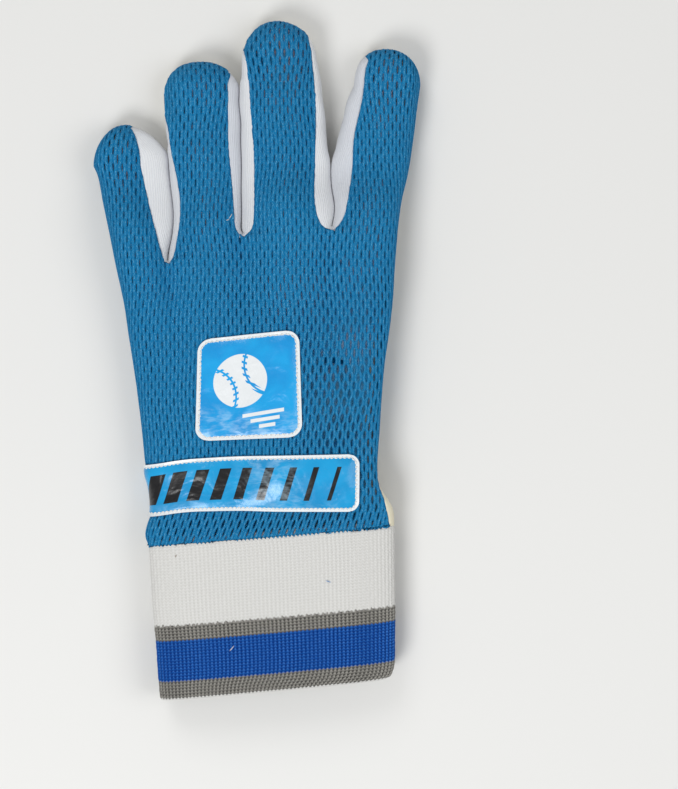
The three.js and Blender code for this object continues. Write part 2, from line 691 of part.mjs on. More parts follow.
function squareBadge() {
  const skin = new Skin();
  const { x, y, width, height, corner, tilt } = SQUARE_BADGE;
  const turn = degToRad(tilt);
  const columns = 8;
  const lines = badgeLines(height / 2, corner).map((b) => {
    const half = width / 2 - cornerInset(b, height / 2, corner);
    const ids = [];
    for (let i = 0; i <= columns; i += 1) {
      const a = lerp(-half, half, i / columns);
      const px = x + a * Math.cos(turn) - b * Math.sin(turn);
      const py = y + a * Math.sin(turn) + b * Math.cos(turn);
      ids.push(skin.vertex(px, py, backZ(px, py)));
    }
    return ids;
  });
  for (let i = 0; i + 1 < lines.length; i += 1) skin.band('square_badge', lines[i], lines[i + 1]);
  return skin;
}

function barBadge() {
  const skin = new Skin();
  const { end, y, height, corner, slope, wrapTurn } = BAR_BADGE;
  const flatColumns = 8;
  const turnColumns = 9;
  const lines = badgeLines(height / 2, corner).map((b) => {
    const ids = [];
    const edge = read(BODY_ROWS, 'left', y + b + slope * BODY_ROWS[7].left);
    const place = (x, isUpper) => {
      const py = y + b + slope * x;
      const z = handZ(x, py, sectionLevel(fractionAt(x, py), isUpper));
      return skin.vertex(x, py, z);
    };
    for (let i = turnColumns; i >= 1; i -= 1) {
      const turn = lerp(90, wrapTurn, i / turnColumns);
      const inset = CAP_WIDTH * (1 - Math.cos(degToRad(turn)) ** EDGE_POWER);
      ids.push(place(edge + inset, turn > 0));
    }
    const right = end - cornerInset(b, height / 2, corner);
    for (let i = 0; i <= flatColumns; i += 1) {
      ids.push(place(lerp(edge + CAP_WIDTH, right, i / flatColumns), true));
    }
    return ids;
  });
  for (let i = 0; i + 1 < lines.length; i += 1) skin.band('bar_badge', lines[i], lines[i + 1]);
  return skin;
}

// A flat leather plate with two or four rounded corners, its underside at z = 0.
function strapPlate(from, to, roundLeft, roundRight) {
  const { depth, thick, corner } = STRAP;
  const shape = new THREE.Shape();
  const half = depth / 2;
  const cornerAt = (x, y, start, round) => {
    if (round) shape.absarc(x, y, corner, start, start + Math.PI / 2, false);
    else shape.lineTo(x + Math.sign(Math.cos(start + 0.7)) * corner,
      y + Math.sign(Math.sin(start + 0.7)) * corner);
  };
  shape.moveTo(from + corner, -half);
  cornerAt(to - corner, -half + corner, -Math.PI / 2, roundRight);
  cornerAt(to - corner, half - corner, 0, roundRight);
  cornerAt(from + corner, half - corner, Math.PI / 2, roundLeft);
  cornerAt(from + corner, -half + corner, Math.PI, roundLeft);
  return new THREE.ExtrudeGeometry(shape, { depth: thick, bevelEnabled: false, curveSegments: 5 });
}

function material(color, roughness, metalness = 0) {
  return new THREE.MeshStandardMaterial({ color, roughness, metalness });
}

const blueMesh = material(0x1e78af, 0.75);
const suede = material(0xd0cbb2, 0.95);
const whiteKnit = material(0xdce1e4, 0.9);
const cuffKnit = material(0xe4e4e2, 0.9);
const blackLeather = material(0x19191b, 0.45);
const blueVinyl = material(0x239be6, 0.25);

const glove = new THREE.Group();

function addPiece(name, geometry, finish) {
  const mesh = new THREE.Mesh(geometry, finish);
  mesh.name = name;
  glove.add(mesh);
  return mesh;
}

const hand = handSkin();
const thumb = thumbSkin();
addPiece('back_panel', hand.wall('back_panel', MESH_WALL), blueMesh);
addPiece('palm_panel', cutThumbHole(hand.wall('palm_panel', SUEDE_WALL), thumb.at), suede);
for (const { name } of FINGERS) {
  addPiece(`${name}_fingertip_patch`, hand.wall(`${name}_fingertip_patch`, SUEDE_WALL), suede);
}
for (const { name } of FINGERS.slice(0, 3)) {
  addPiece(`${name}_side_gusset`, hand.wall(`${name}_side_gusset`, GUSSET_WALL), whiteKnit);
}
addPiece('ribbed_cuff', hand.wall('ribbed_cuff', CUFF_WALL), cuffKnit);
addPiece('thumb_front', thumb.skin.wall('thumb_front', SUEDE_WALL), suede);
addPiece('thumb_back', thumb.skin.wall('thumb_back', MESH_WALL), blueMesh);
addPiece('square_badge', squareBadge().wall('square_badge', BADGE_WALL, BADGE_WALL + BADGE_GAP), blueVinyl);
addPiece('bar_badge', barBadge().wall('bar_badge', BADGE_WALL, BADGE_WALL + BADGE_GAP), blueVinyl);

const strap = new THREE.Group();
strap.position.set(STRAP.x, STRAP.y, 0);
strap.rotation.z = degToRad(STRAP.tilt);
glove.add(strap);
const strapSeam = -STRAP.width / 2 + STRAP.tab;
const tab = addPiece('strap_tab', strapPlate(-STRAP.width / 2, strapSeam - 0.2, true, false), blackLeather);
const flap = addPiece('strap_flap', strapPlate(strapSeam + 0.2, STRAP.width / 2, false, true), blackLeather);
strap.add(tab, flap);

export default glove;
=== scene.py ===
import math

import bpy
import bmesh
import numpy as np
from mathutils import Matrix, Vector


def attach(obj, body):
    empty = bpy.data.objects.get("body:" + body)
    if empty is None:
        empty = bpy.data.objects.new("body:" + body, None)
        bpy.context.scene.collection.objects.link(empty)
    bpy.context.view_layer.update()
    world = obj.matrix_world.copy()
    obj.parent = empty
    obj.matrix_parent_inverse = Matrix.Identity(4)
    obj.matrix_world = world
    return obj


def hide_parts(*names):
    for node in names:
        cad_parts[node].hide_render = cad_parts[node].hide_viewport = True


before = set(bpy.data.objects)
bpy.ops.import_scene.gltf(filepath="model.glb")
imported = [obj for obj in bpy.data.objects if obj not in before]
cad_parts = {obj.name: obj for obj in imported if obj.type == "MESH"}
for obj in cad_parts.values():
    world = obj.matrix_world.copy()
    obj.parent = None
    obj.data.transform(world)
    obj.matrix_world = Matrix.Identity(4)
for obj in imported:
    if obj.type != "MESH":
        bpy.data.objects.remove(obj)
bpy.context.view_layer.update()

mm = 0.001  # every size below is in millimetres and becomes metres when a mesh is made

print("stage: camera")
picture = {"centre": (31.7, -13.7), "tall": 303.8, "level": 11.0, "lens": 85.0}


def addCamera():
    data = bpy.data.cameras.new("camera")
    data.lens = picture["lens"]
    data.sensor_width = 36.0
    data.sensor_fit = "AUTO"
    camera = bpy.data.objects.new("camera", data)
    bpy.context.scene.collection.objects.link(camera)
    away = picture["tall"] * picture["lens"] / data.sensor_width
    x, y = picture["centre"]
    camera.location = (x * mm, y * mm, (picture["level"] + away) * mm)
    bpy.context.scene.camera = camera


addCamera()
bpy.context.scene.view_settings.view_transform = "Standard"

print("stage: shape of the glove")

# The four fingers from the small one to the index, with the same sections as the solids.
fingers = [
    {
        "name": "small", "tip": (-51.3, 90.8), "dome": 16, "square": 1.8, "height": 15,
        "gussetStart": {"right": 0.1}, "gussetReach": 1.4,
        "rows": {
            "y": [74.5, 70.5, 61, 50, 42.5, 36.5],
            "left": [-63.0, -61.3, -59.4, -56.9, -55.4, -54.2],
            "seamRight": [-44.7, -43.8, -41.7, -38.8, -36.9, -36.0],
            "right": [-34.6, -34.4, -34.5, -34.6, -34.7, -34.7],
        },
    },
    {
        "name": "ring", "tip": (-21.8, 115.2), "dome": 14.6, "square": 2.3, "height": 16.5,
        "gussetStart": {"left": 21, "right": 3.5}, "gussetReach": 7,
        "rows": {
            "y": [100.5, 92.5, 81, 72, 61, 52, 44],
            "left": [-35.9, -35.4, -34.2, -33.6, -33.6, -33.7, -33.9],
            "seamLeft": [-34.4, -34.2, -33.0, -31.1, -29.3, -29.3, -30.6],
            "seamRight": [-10.9, -10.9, -10.7, -9.9, -8.9, -8.3, -8.3],
            "right": [-7.3, -6.9, -6.8, -6.7, -6.6, -6.2, -6.0],
        },
    },
    {
        "name": "middle", "tip": (7.6, 130.9), "dome": 16, "square": 2.0, "height": 17.5,
        "gussetStart": {"left": 11.5, "right": 5}, "gussetReach": 5,
        "rows": {
            "y": [115, 103, 92.5, 81, 69, 61, 54],
            "left": [-5.7, -6.2, -5.9, -5.8, -5.7, -5.6, -5.4],
            "seamLeft": [-4.1, -2.7, -2.2, -1.0, -0.8, -0.7, -0.9],
            "seamRight": [21.3, 22.4, 22.8, 22.6, 22.3, 22.3, 23.4],
            "right": [23.2, 25.3, 26.3, 27.5, 28.0, 28.1, 28.2],
        },
    },
    {
        "name": "index", "tip": (49.4, 120.1), "dome": 14.6, "square": 2.1, "height": 16.5,
        "gussetStart": {"left": 2.5}, "gussetReach": 3,
        "rows": {
            "y": [105.5, 98, 85, 72, 61, 54, 49],
            "left": [37.3, 34.4, 31.3, 29.1, 28.9, 28.9, 28.9],
            "seamLeft": [41.4, 40.3, 37.5, 36.7, 35.2, 33.8, 33.0],
            "right": [63.0, 61.9, 60.3, 58.3, 55.7, 54.6, 54.0],
        },
    },
]
forks = {"x": [-34.3, -5.1, 28.6], "y": [36.5, 47.1, 49.0], "round": [9, 6, 7]}
forkX = np.array(forks["x"])
forkY = np.array(forks["y"])

# Outline of the hand and cuff below the forks; seamTurn is where the mesh back ends at the index side.
outline = {
    "y": [49, 36.5, 21, 10, -2, -13, -27, -42, -49, -57, -64, -68, -72, -96, -108, -117, -121.5, -124.5,
          -131],
    "left": [-56.7, -54.2, -50.9, -49.3, -47.4, -45.8, -44.1, -42.5, -40.7, -39.8, -42.0, -42.6, -41.4, -39.8,
             -38.6, -38.0, -37.7, -37.4, -36.8],
    "right": [54.0, 53.0, 52.0, 50.7, 49.0, 48.0, 47.1, 46.2, 47.4, 52.2, 53.0, 53.0, 53.0, 53.2, 53.1, 52.9,
              51.6, 48.6, 46.0],
    "seamTurn": [-42, -42, -42, -42, -40, -36, -20, -5, 12, 38, 33, 27, 20, 0, 0, 0, 0, 0, 0],
}
shape = {
    "palmHeight": 20, "wristHeight": 16.5, "overThumb": 10.4, "overStrap": 3.3, "overThumbLoss": 0.6,
    "seamLevel": 0.55, "edgePower": 2.4, "cap": 14, "topPower": 3, "palmPower": 5, "smallTurn": -42,
    "tipSeam": 19, "rumple": 0.28, "crownPower": 2.2, "palmCrownPower": 4.0, "tipLevel": 0.34, "flatTip": 0.8,
    "fingerFade": 22, "crownFade": 0.38, "turnSteps": 44,
    "overThumbX": (-8, 12), "overThumbTop": (46, 76), "overThumbLow": (-68, -47), "overStrapY": (-68, -45),
    "wristY": (-68, -42),
}
forkEdges = (-54.2, 54.0)  # x of the hand's edges beside the outer forks
cuffEnds = {"seam": (-71.7, -64.0), "open": (-131.0, -122.9)}  # y at the left and the right edge


def blend(a, b, t):
    return a + (b - a) * t


def smooth(x, low, high):
    t = np.clip((x - low) / (high - low), 0, 1)
    return t * t * (3 - 2 * t)


# A quarter of a rounded square, from 1 at its middle to 0 at its side.
def quarter(t, power):
    return (1 - t ** power) ** (1 / power)


def dome(distance, length, power=2.0):
    return quarter(1 - np.clip(distance / length, 0, 1), power)


def unit(ways):
    return ways / np.maximum(np.linalg.norm(ways, axis=-1, keepdims=True), 1e-9)


# How far along a chain of points each one lies.
def runAlong(points):
    return np.concatenate([[0], np.cumsum(np.linalg.norm(np.diff(points, axis=0), axis=1))])


# Reads one column of a table on a smooth curve through its rows.
def readRows(rows, key, y):
    ys = np.array(rows["y"], float)
    values = np.array(rows[key], float)
    y = np.clip(y, ys[-1], ys[0])
    a = np.clip(np.searchsorted(-ys, -y, side="left") - 1, 0, len(ys) - 2)
    b = a + 1
    before = np.maximum(a - 1, 0)
    after = np.minimum(b + 1, len(ys) - 1)
    span = ys[b] - ys[a]
    slopeA = (values[b] - values[before]) / (ys[b] - ys[before]) * span
    slopeB = (values[after] - values[a]) / (ys[after] - ys[a]) * span
    t = (y - ys[a]) / span
    rise = values[a] * (2 * t ** 3 - 3 * t ** 2 + 1) + values[b] * (3 * t ** 2 - 2 * t ** 3)
    return rise + slopeA * (t ** 3 - 2 * t ** 2 + t) + slopeB * (t ** 3 - t ** 2)


def thumbLift(x, y):
    along = (1 - smooth(y, *shape["overThumbTop"])) * smooth(y, *shape["overThumbLow"])
    return shape["overThumb"] * smooth(x, *shape["overThumbX"]) * along


def underside(x, y):
    lift = thumbLift(x, y)
    strap = shape["overStrap"] * (1 - smooth(y, *shape["overStrapY"]))
    return lift + strap * (1 - lift / shape["overThumb"])


def handHeight(x, y):
    wrist = 1 - smooth(y, *shape["wristY"])
    plain = blend(shape["palmHeight"], shape["wristHeight"], wrist)
    return plain - shape["overThumbLoss"] * thumbLift(x, y)


# The cloth's soft unevenness, as a few crossing waves.
def rumple(x, y):
    slow = np.sin(x / 13.0 + 1.7 * np.sin(y / 21.0)) * np.cos(y / 17.0 + 0.6)
    quick = np.sin(x / 6.1 - y / 9.3 + 2.0) * np.cos(y / 7.7 + x / 15.0)
    return shape["rumple"] * (slow + 0.45 * quick)


def fingerSide(number, side, y):
    finger = fingers[number]
    tipX, tipY = finger["tip"]
    behind = tipY - y
    full = dome(behind, finger["dome"], finger["square"])
    inRows = np.minimum(y, tipY - finger["dome"])
    fork = number - 1 if side == "left" else number
    isOuter = not 0 <= fork < len(forkX)
    edge = blend(tipX, readRows(finger["rows"], side, inRows), full)
    if isOuter:
        return edge, edge, np.zeros_like(edge)
    first = finger["gussetStart"][side]
    opened = smooth(behind, first, first + finger["gussetReach"])
    key = "seamLeft" if side == "left" else "seamRight"
    seam = blend(edge, blend(tipX, readRows(finger["rows"], key, inRows), full), opened)
    above = y - forkY[fork]
    seam = blend(forkX[fork], seam, dome(above, forks["round"][fork]))
    edge = blend(forkX[fork], edge, dome(above, forks["round"][fork] / 2))
    return edge, seam, opened


def fingerZ(number, x, y, level):
    finger = fingers[number]
    behind = finger["tip"][1] - y
    share = 1 - smooth(y, forkY[1], forkY[1] + shape["fingerFade"])
    height = blend(finger["height"], handHeight(x, y), share)
    flat = dome(behind, finger["dome"] * shape["flatTip"])
    middle = blend(shape["tipLevel"], 0.5, flat)
    return underside(x, y) + height * (middle + 0.5 * level * flat)


# Level across a section at a share t of its half width: crowned between two seams, or rounded to an edge.
def crossLevel(t, isRounded, seamShare, isUpper):
    rise = shape["seamLevel"] * seamShare
    crowned = rise + (1 - rise) * (1 - t ** shape["crownPower" if isUpper else "palmCrownPower"])
    return np.where(isRounded, quarter(t, shape["edgePower"]), crowned)


# Level of a finger's section at a plan point: 1 on its top line, minus on the palm side.
def fingerLevel(number, x, y, isUpper):
    _, seamLeft, openLeft = fingerSide(number, "left", y)
    _, seamRight, openRight = fingerSide(number, "right", y)
    centre = (seamLeft + seamRight) / 2
    isLeft = x < centre
    reach = np.maximum(np.where(isLeft, centre - seamLeft, seamRight - centre), 1e-6)
    t = np.clip(np.abs(x - centre) / reach, 0, 1)
    isOuter = (isLeft if number == 0 else ~isLeft) if number in (0, 3) else np.zeros_like(isLeft)
    level = crossLevel(t, isOuter, np.sqrt(np.where(isLeft, openLeft, openRight)), isUpper)
    return level if isUpper else -level


def knuckleY(x):
    return np.interp(x, forkX, forkY)


def cuffSeamY(x, y):
    left = readRows(outline, "left", y)
    fraction = (x - left) / (readRows(outline, "right", y) - left)
    return blend(*cuffEnds["seam"], np.clip(fraction, 0, 1))


# Level of the hand's section below the knuckles, which keeps the fingers' crowns for a short way.
def bodyLevel(x, y, isUpper):
    left = readRows(outline, "left", y)
    right = readRows(outline, "right", y)
    fraction = np.clip((x - left) / (right - left), 0, 1)
    plain = quarter(np.abs(2 * fraction - 1), shape["topPower" if isUpper else "palmPower"])
    atY = knuckleY(x)
    for _ in range(2):
        footLeft = np.where(atY > forkY[0], forkEdges[0] + 0 * atY, readRows(outline, "left", atY))
        footRight = readRows(outline, "right", atY)
        atX = blend(footLeft, footRight, fraction)
        atY = knuckleY(atX)
    crown = np.zeros_like(plain)
    bounds = [forkEdges[0], *forkX, forkEdges[1]]
    for number in range(4):
        low, high = bounds[number], bounds[number + 1]
        centre = (low + high) / 2
        t = np.clip(np.abs(atX - centre) / ((high - low) / 2), 0, 1)
        isOuter = (number == 0) & (atX < centre) | (number == 3) & (atX > centre)
        inside = (atX >= low) & (atX <= high) | (number == 0) & (atX < low) | (number == 3) & (atX > high)
        crown = np.where(inside, crossLevel(t, isOuter, 1, isUpper), crown)
    seamY = blend(*cuffEnds["seam"], fraction)
    down = (atY - y) / (atY - seamY)
    share = 1 - smooth(down, 0, shape["crownFade"])
    level = blend(plain, crown, share)
    return level if isUpper else -level


# Height of the glove's skin at a plan point, on its back or on its palm.
def skinZ(x, y, isUpper, owner=None):
    x = np.asarray(x, float) + 0.0
    y = np.asarray(y, float) + 0 * x
    x = x + 0 * y
    z = underside(x, y) + handHeight(x, y) * 0.5 * (1 + bodyLevel(x, y, isUpper))
    number = np.searchsorted(forkX, x)
    if owner is not None:
        gap = forkY[max(owner - 1, 0)] + 5
        number = np.where(y > gap, owner, number)
    isFinger = y >= knuckleY(x)
    for n in range(4):
        mask = isFinger & (number == n)
        if mask.any():
            level = fingerLevel(n, x[mask], y[mask], isUpper)
            z[mask] = fingerZ(n, x[mask], y[mask], level)
    lump = rumple(x, y) if isUpper else 0.5 * rumple(y, x)
    return z + lump * (1 if isUpper else 0.4)


def onBack(x, y):
    return np.stack([x, y, skinZ(x, y, True)], axis=-1)


def onPalm(x, y):
    return np.stack([x, y, skinZ(x, y, False)], axis=-1)


def outerEdge(isLeft, y):
    if isLeft:
        return np.where(y >= forkY[0], fingerSide(0, "left", y)[0], readRows(outline, "left", y))
    return np.where(y >= forkY[2], fingerSide(3, "right", y)[0], readRows(outline, "right", y))


# Width of the stretch at an outer edge that turns under, which a finger has less of than the hand.
def capWidth(isLeft, y):
    number = 0 if isLeft else 3
    _, seamLeft, _ = fingerSide(number, "left", y)
    _, seamRight, _ = fingerSide(number, "right", y)
    half = np.maximum((seamRight - seamLeft) / 2, 1e-4)
    base = forkY[0] if isLeft else forkY[2]
    return blend(shape["cap"], half, smooth(y, base - 10, base))


def seamTurn(isLeft, y):
    return shape["smallTurn"] + 0 * y if isLeft else readRows(outline, "seamTurn", y)


# How far the cloth has run past where it begins to turn under at an outer edge.
def pastTurn(isLeft, s, y):
    edge, cap = outerEdge(isLeft, y), capWidth(isLeft, y)
    return edge + cap - s if isLeft else s - (edge - cap)


# Points on the outer edge's turn, at distances along the cloth from where the turn begins.
def turnedPoints(isLeft, y, distance, isUpper):
    steps = shape["turnSteps"]
    seam = np.radians(seamTurn(isLeft, y))
    start = math.pi / 2 if isUpper else -math.pi / 2
    share = np.linspace(0, 1, steps)
    turn = start + (seam[:, None] - start) * share[None, :]
    sign = 1 if isLeft else -1
    cap = capWidth(isLeft, y)[:, None]
    inset = cap * (1 - np.maximum(np.cos(turn), 0) ** (2 / shape["edgePower"]))
    x = outerEdge(isLeft, y)[:, None] + sign * inset
    rows = y[:, None] + 0 * x
    owner = 0 if isLeft else 3
    z = np.where(turn > 0, skinZ(x, rows, True, owner), skinZ(x, rows, False, owner))
    run = np.zeros_like(x)
    run[:, 1:] = np.cumsum(np.hypot(np.diff(x, axis=1), np.diff(z, axis=1)), axis=1)
    d = np.clip(distance, 0, run[:, -1])
    after = np.clip((run < d[:, None]).sum(axis=1), 1, steps - 1)
    row = np.arange(len(y))
    t = (d - run[row, after - 1]) / np.maximum(run[row, after] - run[row, after - 1], 1e-9)
    px = blend(x[row, after - 1], x[row, after], t)
    pz = blend(z[row, after - 1], z[row, after], t)
    return px, pz, run[:, -1]


farOut = 200.0  # stands for no limit at all


# The plan range of a finger's cloth at each y; below a fork it joins its neighbour's.
def limits(owner, y):
    low = np.full_like(y, -farOut)
    high = np.full_like(y, farOut)
    if owner > 0:
        _, seam, _ = fingerSide(owner, "left", y)
        low = np.where(y > forkY[owner - 1], seam, low)
    if owner < 3:
        _, seam, _ = fingerSide(owner, "right", y)
        high = np.where(y > forkY[owner], seam, high)
    return low, high


# Turns cloth coordinates (across, along, owner) into points on the skin.
def onSkin(across, along, owner, isUpper, margin=0.0):
    points = np.zeros((len(across), 3))
    for number in range(4):
        mask = owner == number
        if not mask.any():
            continue
        s = across[mask]
        y = planY(number, along[mask], isUpper)
        low, high = limits(number, y)
        s = np.clip(s, low + margin, np.maximum(high - margin, low + margin))
        y = np.maximum(y, cuffSeamY(s, y) + margin)
        x = s + 0.0
        z = skinZ(x, y, isUpper, number)
        isLeft = number < 2
        over = pastTurn(isLeft, s, y)
        turned = over > 0
        if turned.any():
            x[turned], z[turned], _ = turnedPoints(isLeft, y[turned], over[turned], isUpper)
        points[mask] = np.stack([x, y, z], axis=1)
    return points


tipTables = {}


# Plan y for a distance along the cloth: the same number down to the rounded tip, then its arc.
def planY(number, along, isUpper):
    key = (number, isUpper)
    if key not in tipTables:
        finger = fingers[number]
        tipY = finger["tip"][1]
        start = tipY - finger["dome"]
        part = np.sin(np.linspace(0, math.pi / 2, 60))
        y = start + finger["dome"] * part
        flat = dome(tipY - y, finger["dome"] * shape["flatTip"])
        z = finger["height"] * blend(shape["tipLevel"], 1 if isUpper else 0, flat)
        run = start + runAlong(np.stack([y, z], axis=1))
        tipTables[key] = (run, y)
    run, y = tipTables[key]
    return np.where(along <= run[0], along, np.interp(along, run, y))


def tipRun(number, isUpper):
    planY(number, np.array([0.0]), isUpper)
    return tipTables[(number, isUpper)][0][-1]


# Numbers the corners of a sheet's faces: the same key always gives the same corner.
class Corners:
    def __init__(self):
        self.numbers = {}

    def at(self, *key):
        return self.numbers.setdefault(key, len(self.numbers))

    def keys(self):
        return np.array(list(self.numbers)).T


# Points in millimetres become one object, with a UV map called cloth and a value for each point where given.
def makeObject(name, points, faces, uv=None, attributes=None):
    mesh = bpy.data.meshes.new(name)
    mesh.from_pydata((np.asarray(points) * mm).tolist(), [], faces)
    if uv is not None:
        corners = np.empty(len(mesh.loops), dtype=np.int64)
        mesh.loops.foreach_get("vertex_index", corners)
        mesh.uv_layers.new(name="cloth").data.foreach_set("uv", np.asarray(uv, np.float32)[corners].ravel())
    for key, values in (attributes or {}).items():
        layer = mesh.attributes.new(key, "FLOAT", "POINT")
        layer.data.foreach_set("value", np.asarray(values, np.float32))
    mesh.update()
    obj = bpy.data.objects.new(name, mesh)
    bpy.context.scene.collection.objects.link(obj)
    return obj


def deselectAll():
    for obj in bpy.context.selected_objects:
        obj.select_set(False)


def selectOnly(obj):
    deselectAll()
    obj.select_set(True)
    bpy.context.view_layer.objects.active = obj


def applyModifier(obj, kind, **settings):
    selectOnly(obj)
    modifier = obj.modifiers.new(kind.lower(), kind)
    for key, value in settings.items():
        setattr(modifier, key, value)
    bpy.ops.object.modifier_apply(modifier=modifier.name)


def weld(obj, distance=0.02):
    bm = bmesh.new()
    bm.from_mesh(obj.data)
    bmesh.ops.remove_doubles(bm, verts=bm.verts, dist=distance * mm)
    bmesh.ops.dissolve_degenerate(bm, edges=bm.edges, dist=0.004 * mm)
    loose = [v for v in bm.verts if not v.link_faces]
    bmesh.ops.delete(bm, geom=loose, context="VERTS")
    bm.to_mesh(obj.data)
    bm.free()


# Turns a closed piece's faces outwards where its volume comes out negative.
def pointOutwards(obj):
    bm = bmesh.new()
    bm.from_mesh(obj.data)
    if bm.calc_volume(signed=True) < 0:
        bmesh.ops.reverse_faces(bm, faces=bm.faces)
    bm.to_mesh(obj.data)
    bm.free()


def shadeSmooth(obj, angle=None):
    selectOnly(obj)
    if angle is None:
        bpy.ops.object.shade_smooth()
    else:
        bpy.ops.object.shade_smooth_by_angle(angle=math.radians(angle))


def countTriangles(obj):
    return sum(len(p.vertices) - 2 for p in obj.data.polygons)


# One measure of every item in a Blender collection, as rows of numbers.
def readAll(items, key, size):
    values = np.empty(len(items) * size)
    items.foreach_get(key, values)
    return values.reshape(-1, size)


# Gives a sheet its thickness inwards; its inner faces take the second material.
def thicken(obj, thick):
    count = len(obj.data.polygons)
    applyModifier(obj, "SOLIDIFY", thickness=thick * mm, offset=-1, use_even_offset=False)
    index = np.zeros(len(obj.data.polygons), np.int32)
    index[count:2 * count] = 1
    obj.data.polygons.foreach_set("material_index", index)


# The size that each cloth or leather piece is cut to: width and length, and its area where it isn't
# a rectangle.
flatSizes = {
    "back_mesh": (150, 235, 24500),
    "palm_suede": (125, 190, 15500),
    "small_tip_suede": (17, 20, 300),
    "ring_tip_suede": (26, 24, 560),
    "middle_tip_suede": (26, 23, 540),
    "index_tip_suede": (21, 20, 380),
    "small_gusset_knit": (22, 115, 1800),
    "ring_gusset_knit": (20, 140, 2100),
    "middle_gusset_knit": (22, 145, 2400),
    "cuff_knit": (215, 60, None),
    "thumb_front_suede": (42, 88, 2700),
    "thumb_side_mesh": (12, 88, 700),
    "thumb_back_mesh": (36, 45, 1400),
    "square_badge_vinyl": (40, 41, 1620),
    "bar_badge_vinyl": (98, 21.4, None),
    "strap_tab_leather": (19, 29, None),
    "strap_flap_leather": (49, 29, None),
}


# Along the cuff and the hand's sides a sheet is turned in, so its inner faces there take the outer material.
def hemmed(obj, thick, hem=2.2, side=5.0):
    thicken(obj, thick)
    x, y, _ = readAll(obj.data.polygons, "center", 3).T / mm
    index = readAll(obj.data.polygons, "material_index", 1).ravel().astype(np.int32)
    isHem = (y < cuffSeamY(x, y) + hem) | (x < outerEdge(True, y) + side) | (x > outerEdge(False, y) - side)
    index[isHem] = 0
    obj.data.polygons.foreach_set("material_index", index)
    shadeSmooth(obj)
    return obj


# Tells the frame what a piece rides on and hides the solids that it stands for; its cloth's flat size is read
# but not used.
def finishPiece(obj, nodes, material, inner=None):
    obj.data.materials.append(material)
    obj.data.materials.append(inner or material)
    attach(obj, "root")
    if nodes:
        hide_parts(*nodes)
    if obj.name in flatSizes:
        width, length, flatArea = flatSizes[obj.name]
        if flatArea:
            flatArea = flatArea * mm * mm
    area = sum(p.area for p in obj.data.polygons) / 2 * 10000
    print("piece:", obj.name, countTriangles(obj), "triangles,", round(area, 1), "square cm")


print("stage: finishes")


def paint(red, green, blue):
    def linear(value):
        value = value / 255
        return value / 12.92 if value <= 0.04045 else ((value + 0.055) / 1.055) ** 2.4
    return (linear(red), linear(green), linear(blue), 1.0)


# A colour made darker, its alpha left as it is.
def shaded(colour, share):
    return tuple(share * value for value in colour[:3]) + (1.0,)


# One output of a shader node, so that shader maths reads as plain expressions.
class Wire:
    def __init__(self, finish, socket):
        self.finish = finish
        self.socket = socket

    def join(self, operation, *others):
        return self.finish.node("Math", {"operation": operation}, dict(enumerate((self, *others))))

    def __add__(self, other):
        return self.join("ADD", other)

    def __sub__(self, other):
        return self.join("SUBTRACT", other)

    def __mul__(self, other):
        return self.join("MULTIPLY", other)

    def __truediv__(self, other):
        return self.join("DIVIDE", other)

    def __pow__(self, other):
        return self.join("POWER", other)

    def __rsub__(self, other):
        return self.finish.node("Math", {"operation": "SUBTRACT"}, {0: other, 1: self})

    __radd__ = __add__

    def sine(self):
        return self.join("SINE")

    def size(self):
        return self.join("ABSOLUTE")

    def most(self, other):
        return self.join("MAXIMUM", other)

    # 0 below low and 1 above high, with a soft step between.
    def step(self, low, high):
        settings = {"interpolation_type": "SMOOTHSTEP"}
        return self.finish.node("MapRange", settings, {"Value": self, "From Min": low, "From Max": high})


# A material whose shader nodes are made by plain calls.
class Finish:
    def __init__(self, name, **fixed):
        self.material = bpy.data.materials.new(name)
        self.material.use_nodes = True
        self.tree = self.material.node_tree
        self.shader = self.tree.nodes["Principled BSDF"]
        for key, value in fixed.items():
            self.shader.inputs[key.replace("_", " ")].default_value = value

    def node(self, kind, settings, sockets, out=0):
        made = self.tree.nodes.new("ShaderNode" + kind)
        for key, value in settings.items():
            setattr(made, key, value)
        for key, value in sockets.items():
            if isinstance(value, Wire):
                self.tree.links.new(value.socket, made.inputs[key])
            else:
                made.inputs[key].default_value = value
        return Wire(self, made.outputs[out])

    def objectPlace(self):
        return self.node("TexCoord", {}, {}, "Object")

    def clothPlace(self):
        return self.node("UVMap", {"uv_map": "cloth"}, {})

    def split(self, vector):
        made = self.node("SeparateXYZ", {}, {0: vector})
        outputs = made.socket.node.outputs
        return Wire(self, outputs[0]), Wire(self, outputs[1]), Wire(self, outputs[2])

    def stretch(self, vector, factors):
        return self.node("VectorMath", {"operation": "MULTIPLY"}, {0: vector, 1: factors})

    def noise(self, vector, scale, detail=2.0, rough=0.5, distortion=0.0):
        sockets = {"Vector": vector, "Scale": scale, "Detail": detail, "Roughness": rough}
        sockets["Distortion"] = distortion
        return self.node("TexNoise", {}, sockets)

    def cells(self, vector, scale):
        return self.node("TexVoronoi", {}, {"Vector": vector, "Scale": scale})

    def attribute(self, name):
        return self.node("Attribute", {"attribute_name": name}, {}, "Fac")

    def mixPaint(self, factor, first, second):
        return self.node("Mix", {"data_type": "RGBA"}, {0: factor, 6: first, 7: second}, 2)

    def feed(self, **wires):
        for key, wire in wires.items():
            self.tree.links.new(wire.socket, self.shader.inputs[key.replace("_", " ")])

    # Heights in millimetres at the object's own scale.
    def relief(self, height, strength=1.0):
        bump = self.node("Bump", {}, {"Height": height, "Strength": strength, "Distance": mm})
        self.feed(Normal=bump)


meshLook = {
    "deep": paint(8, 95, 149), "plain": paint(15, 116, 167), "light": paint(54, 145, 194),
    "glint": paint(118, 182, 216), "hole": paint(4, 52, 100), "plies": 1.5, "twist": 2.9,
    "pitch": 3.07, "row": 3.1,
}
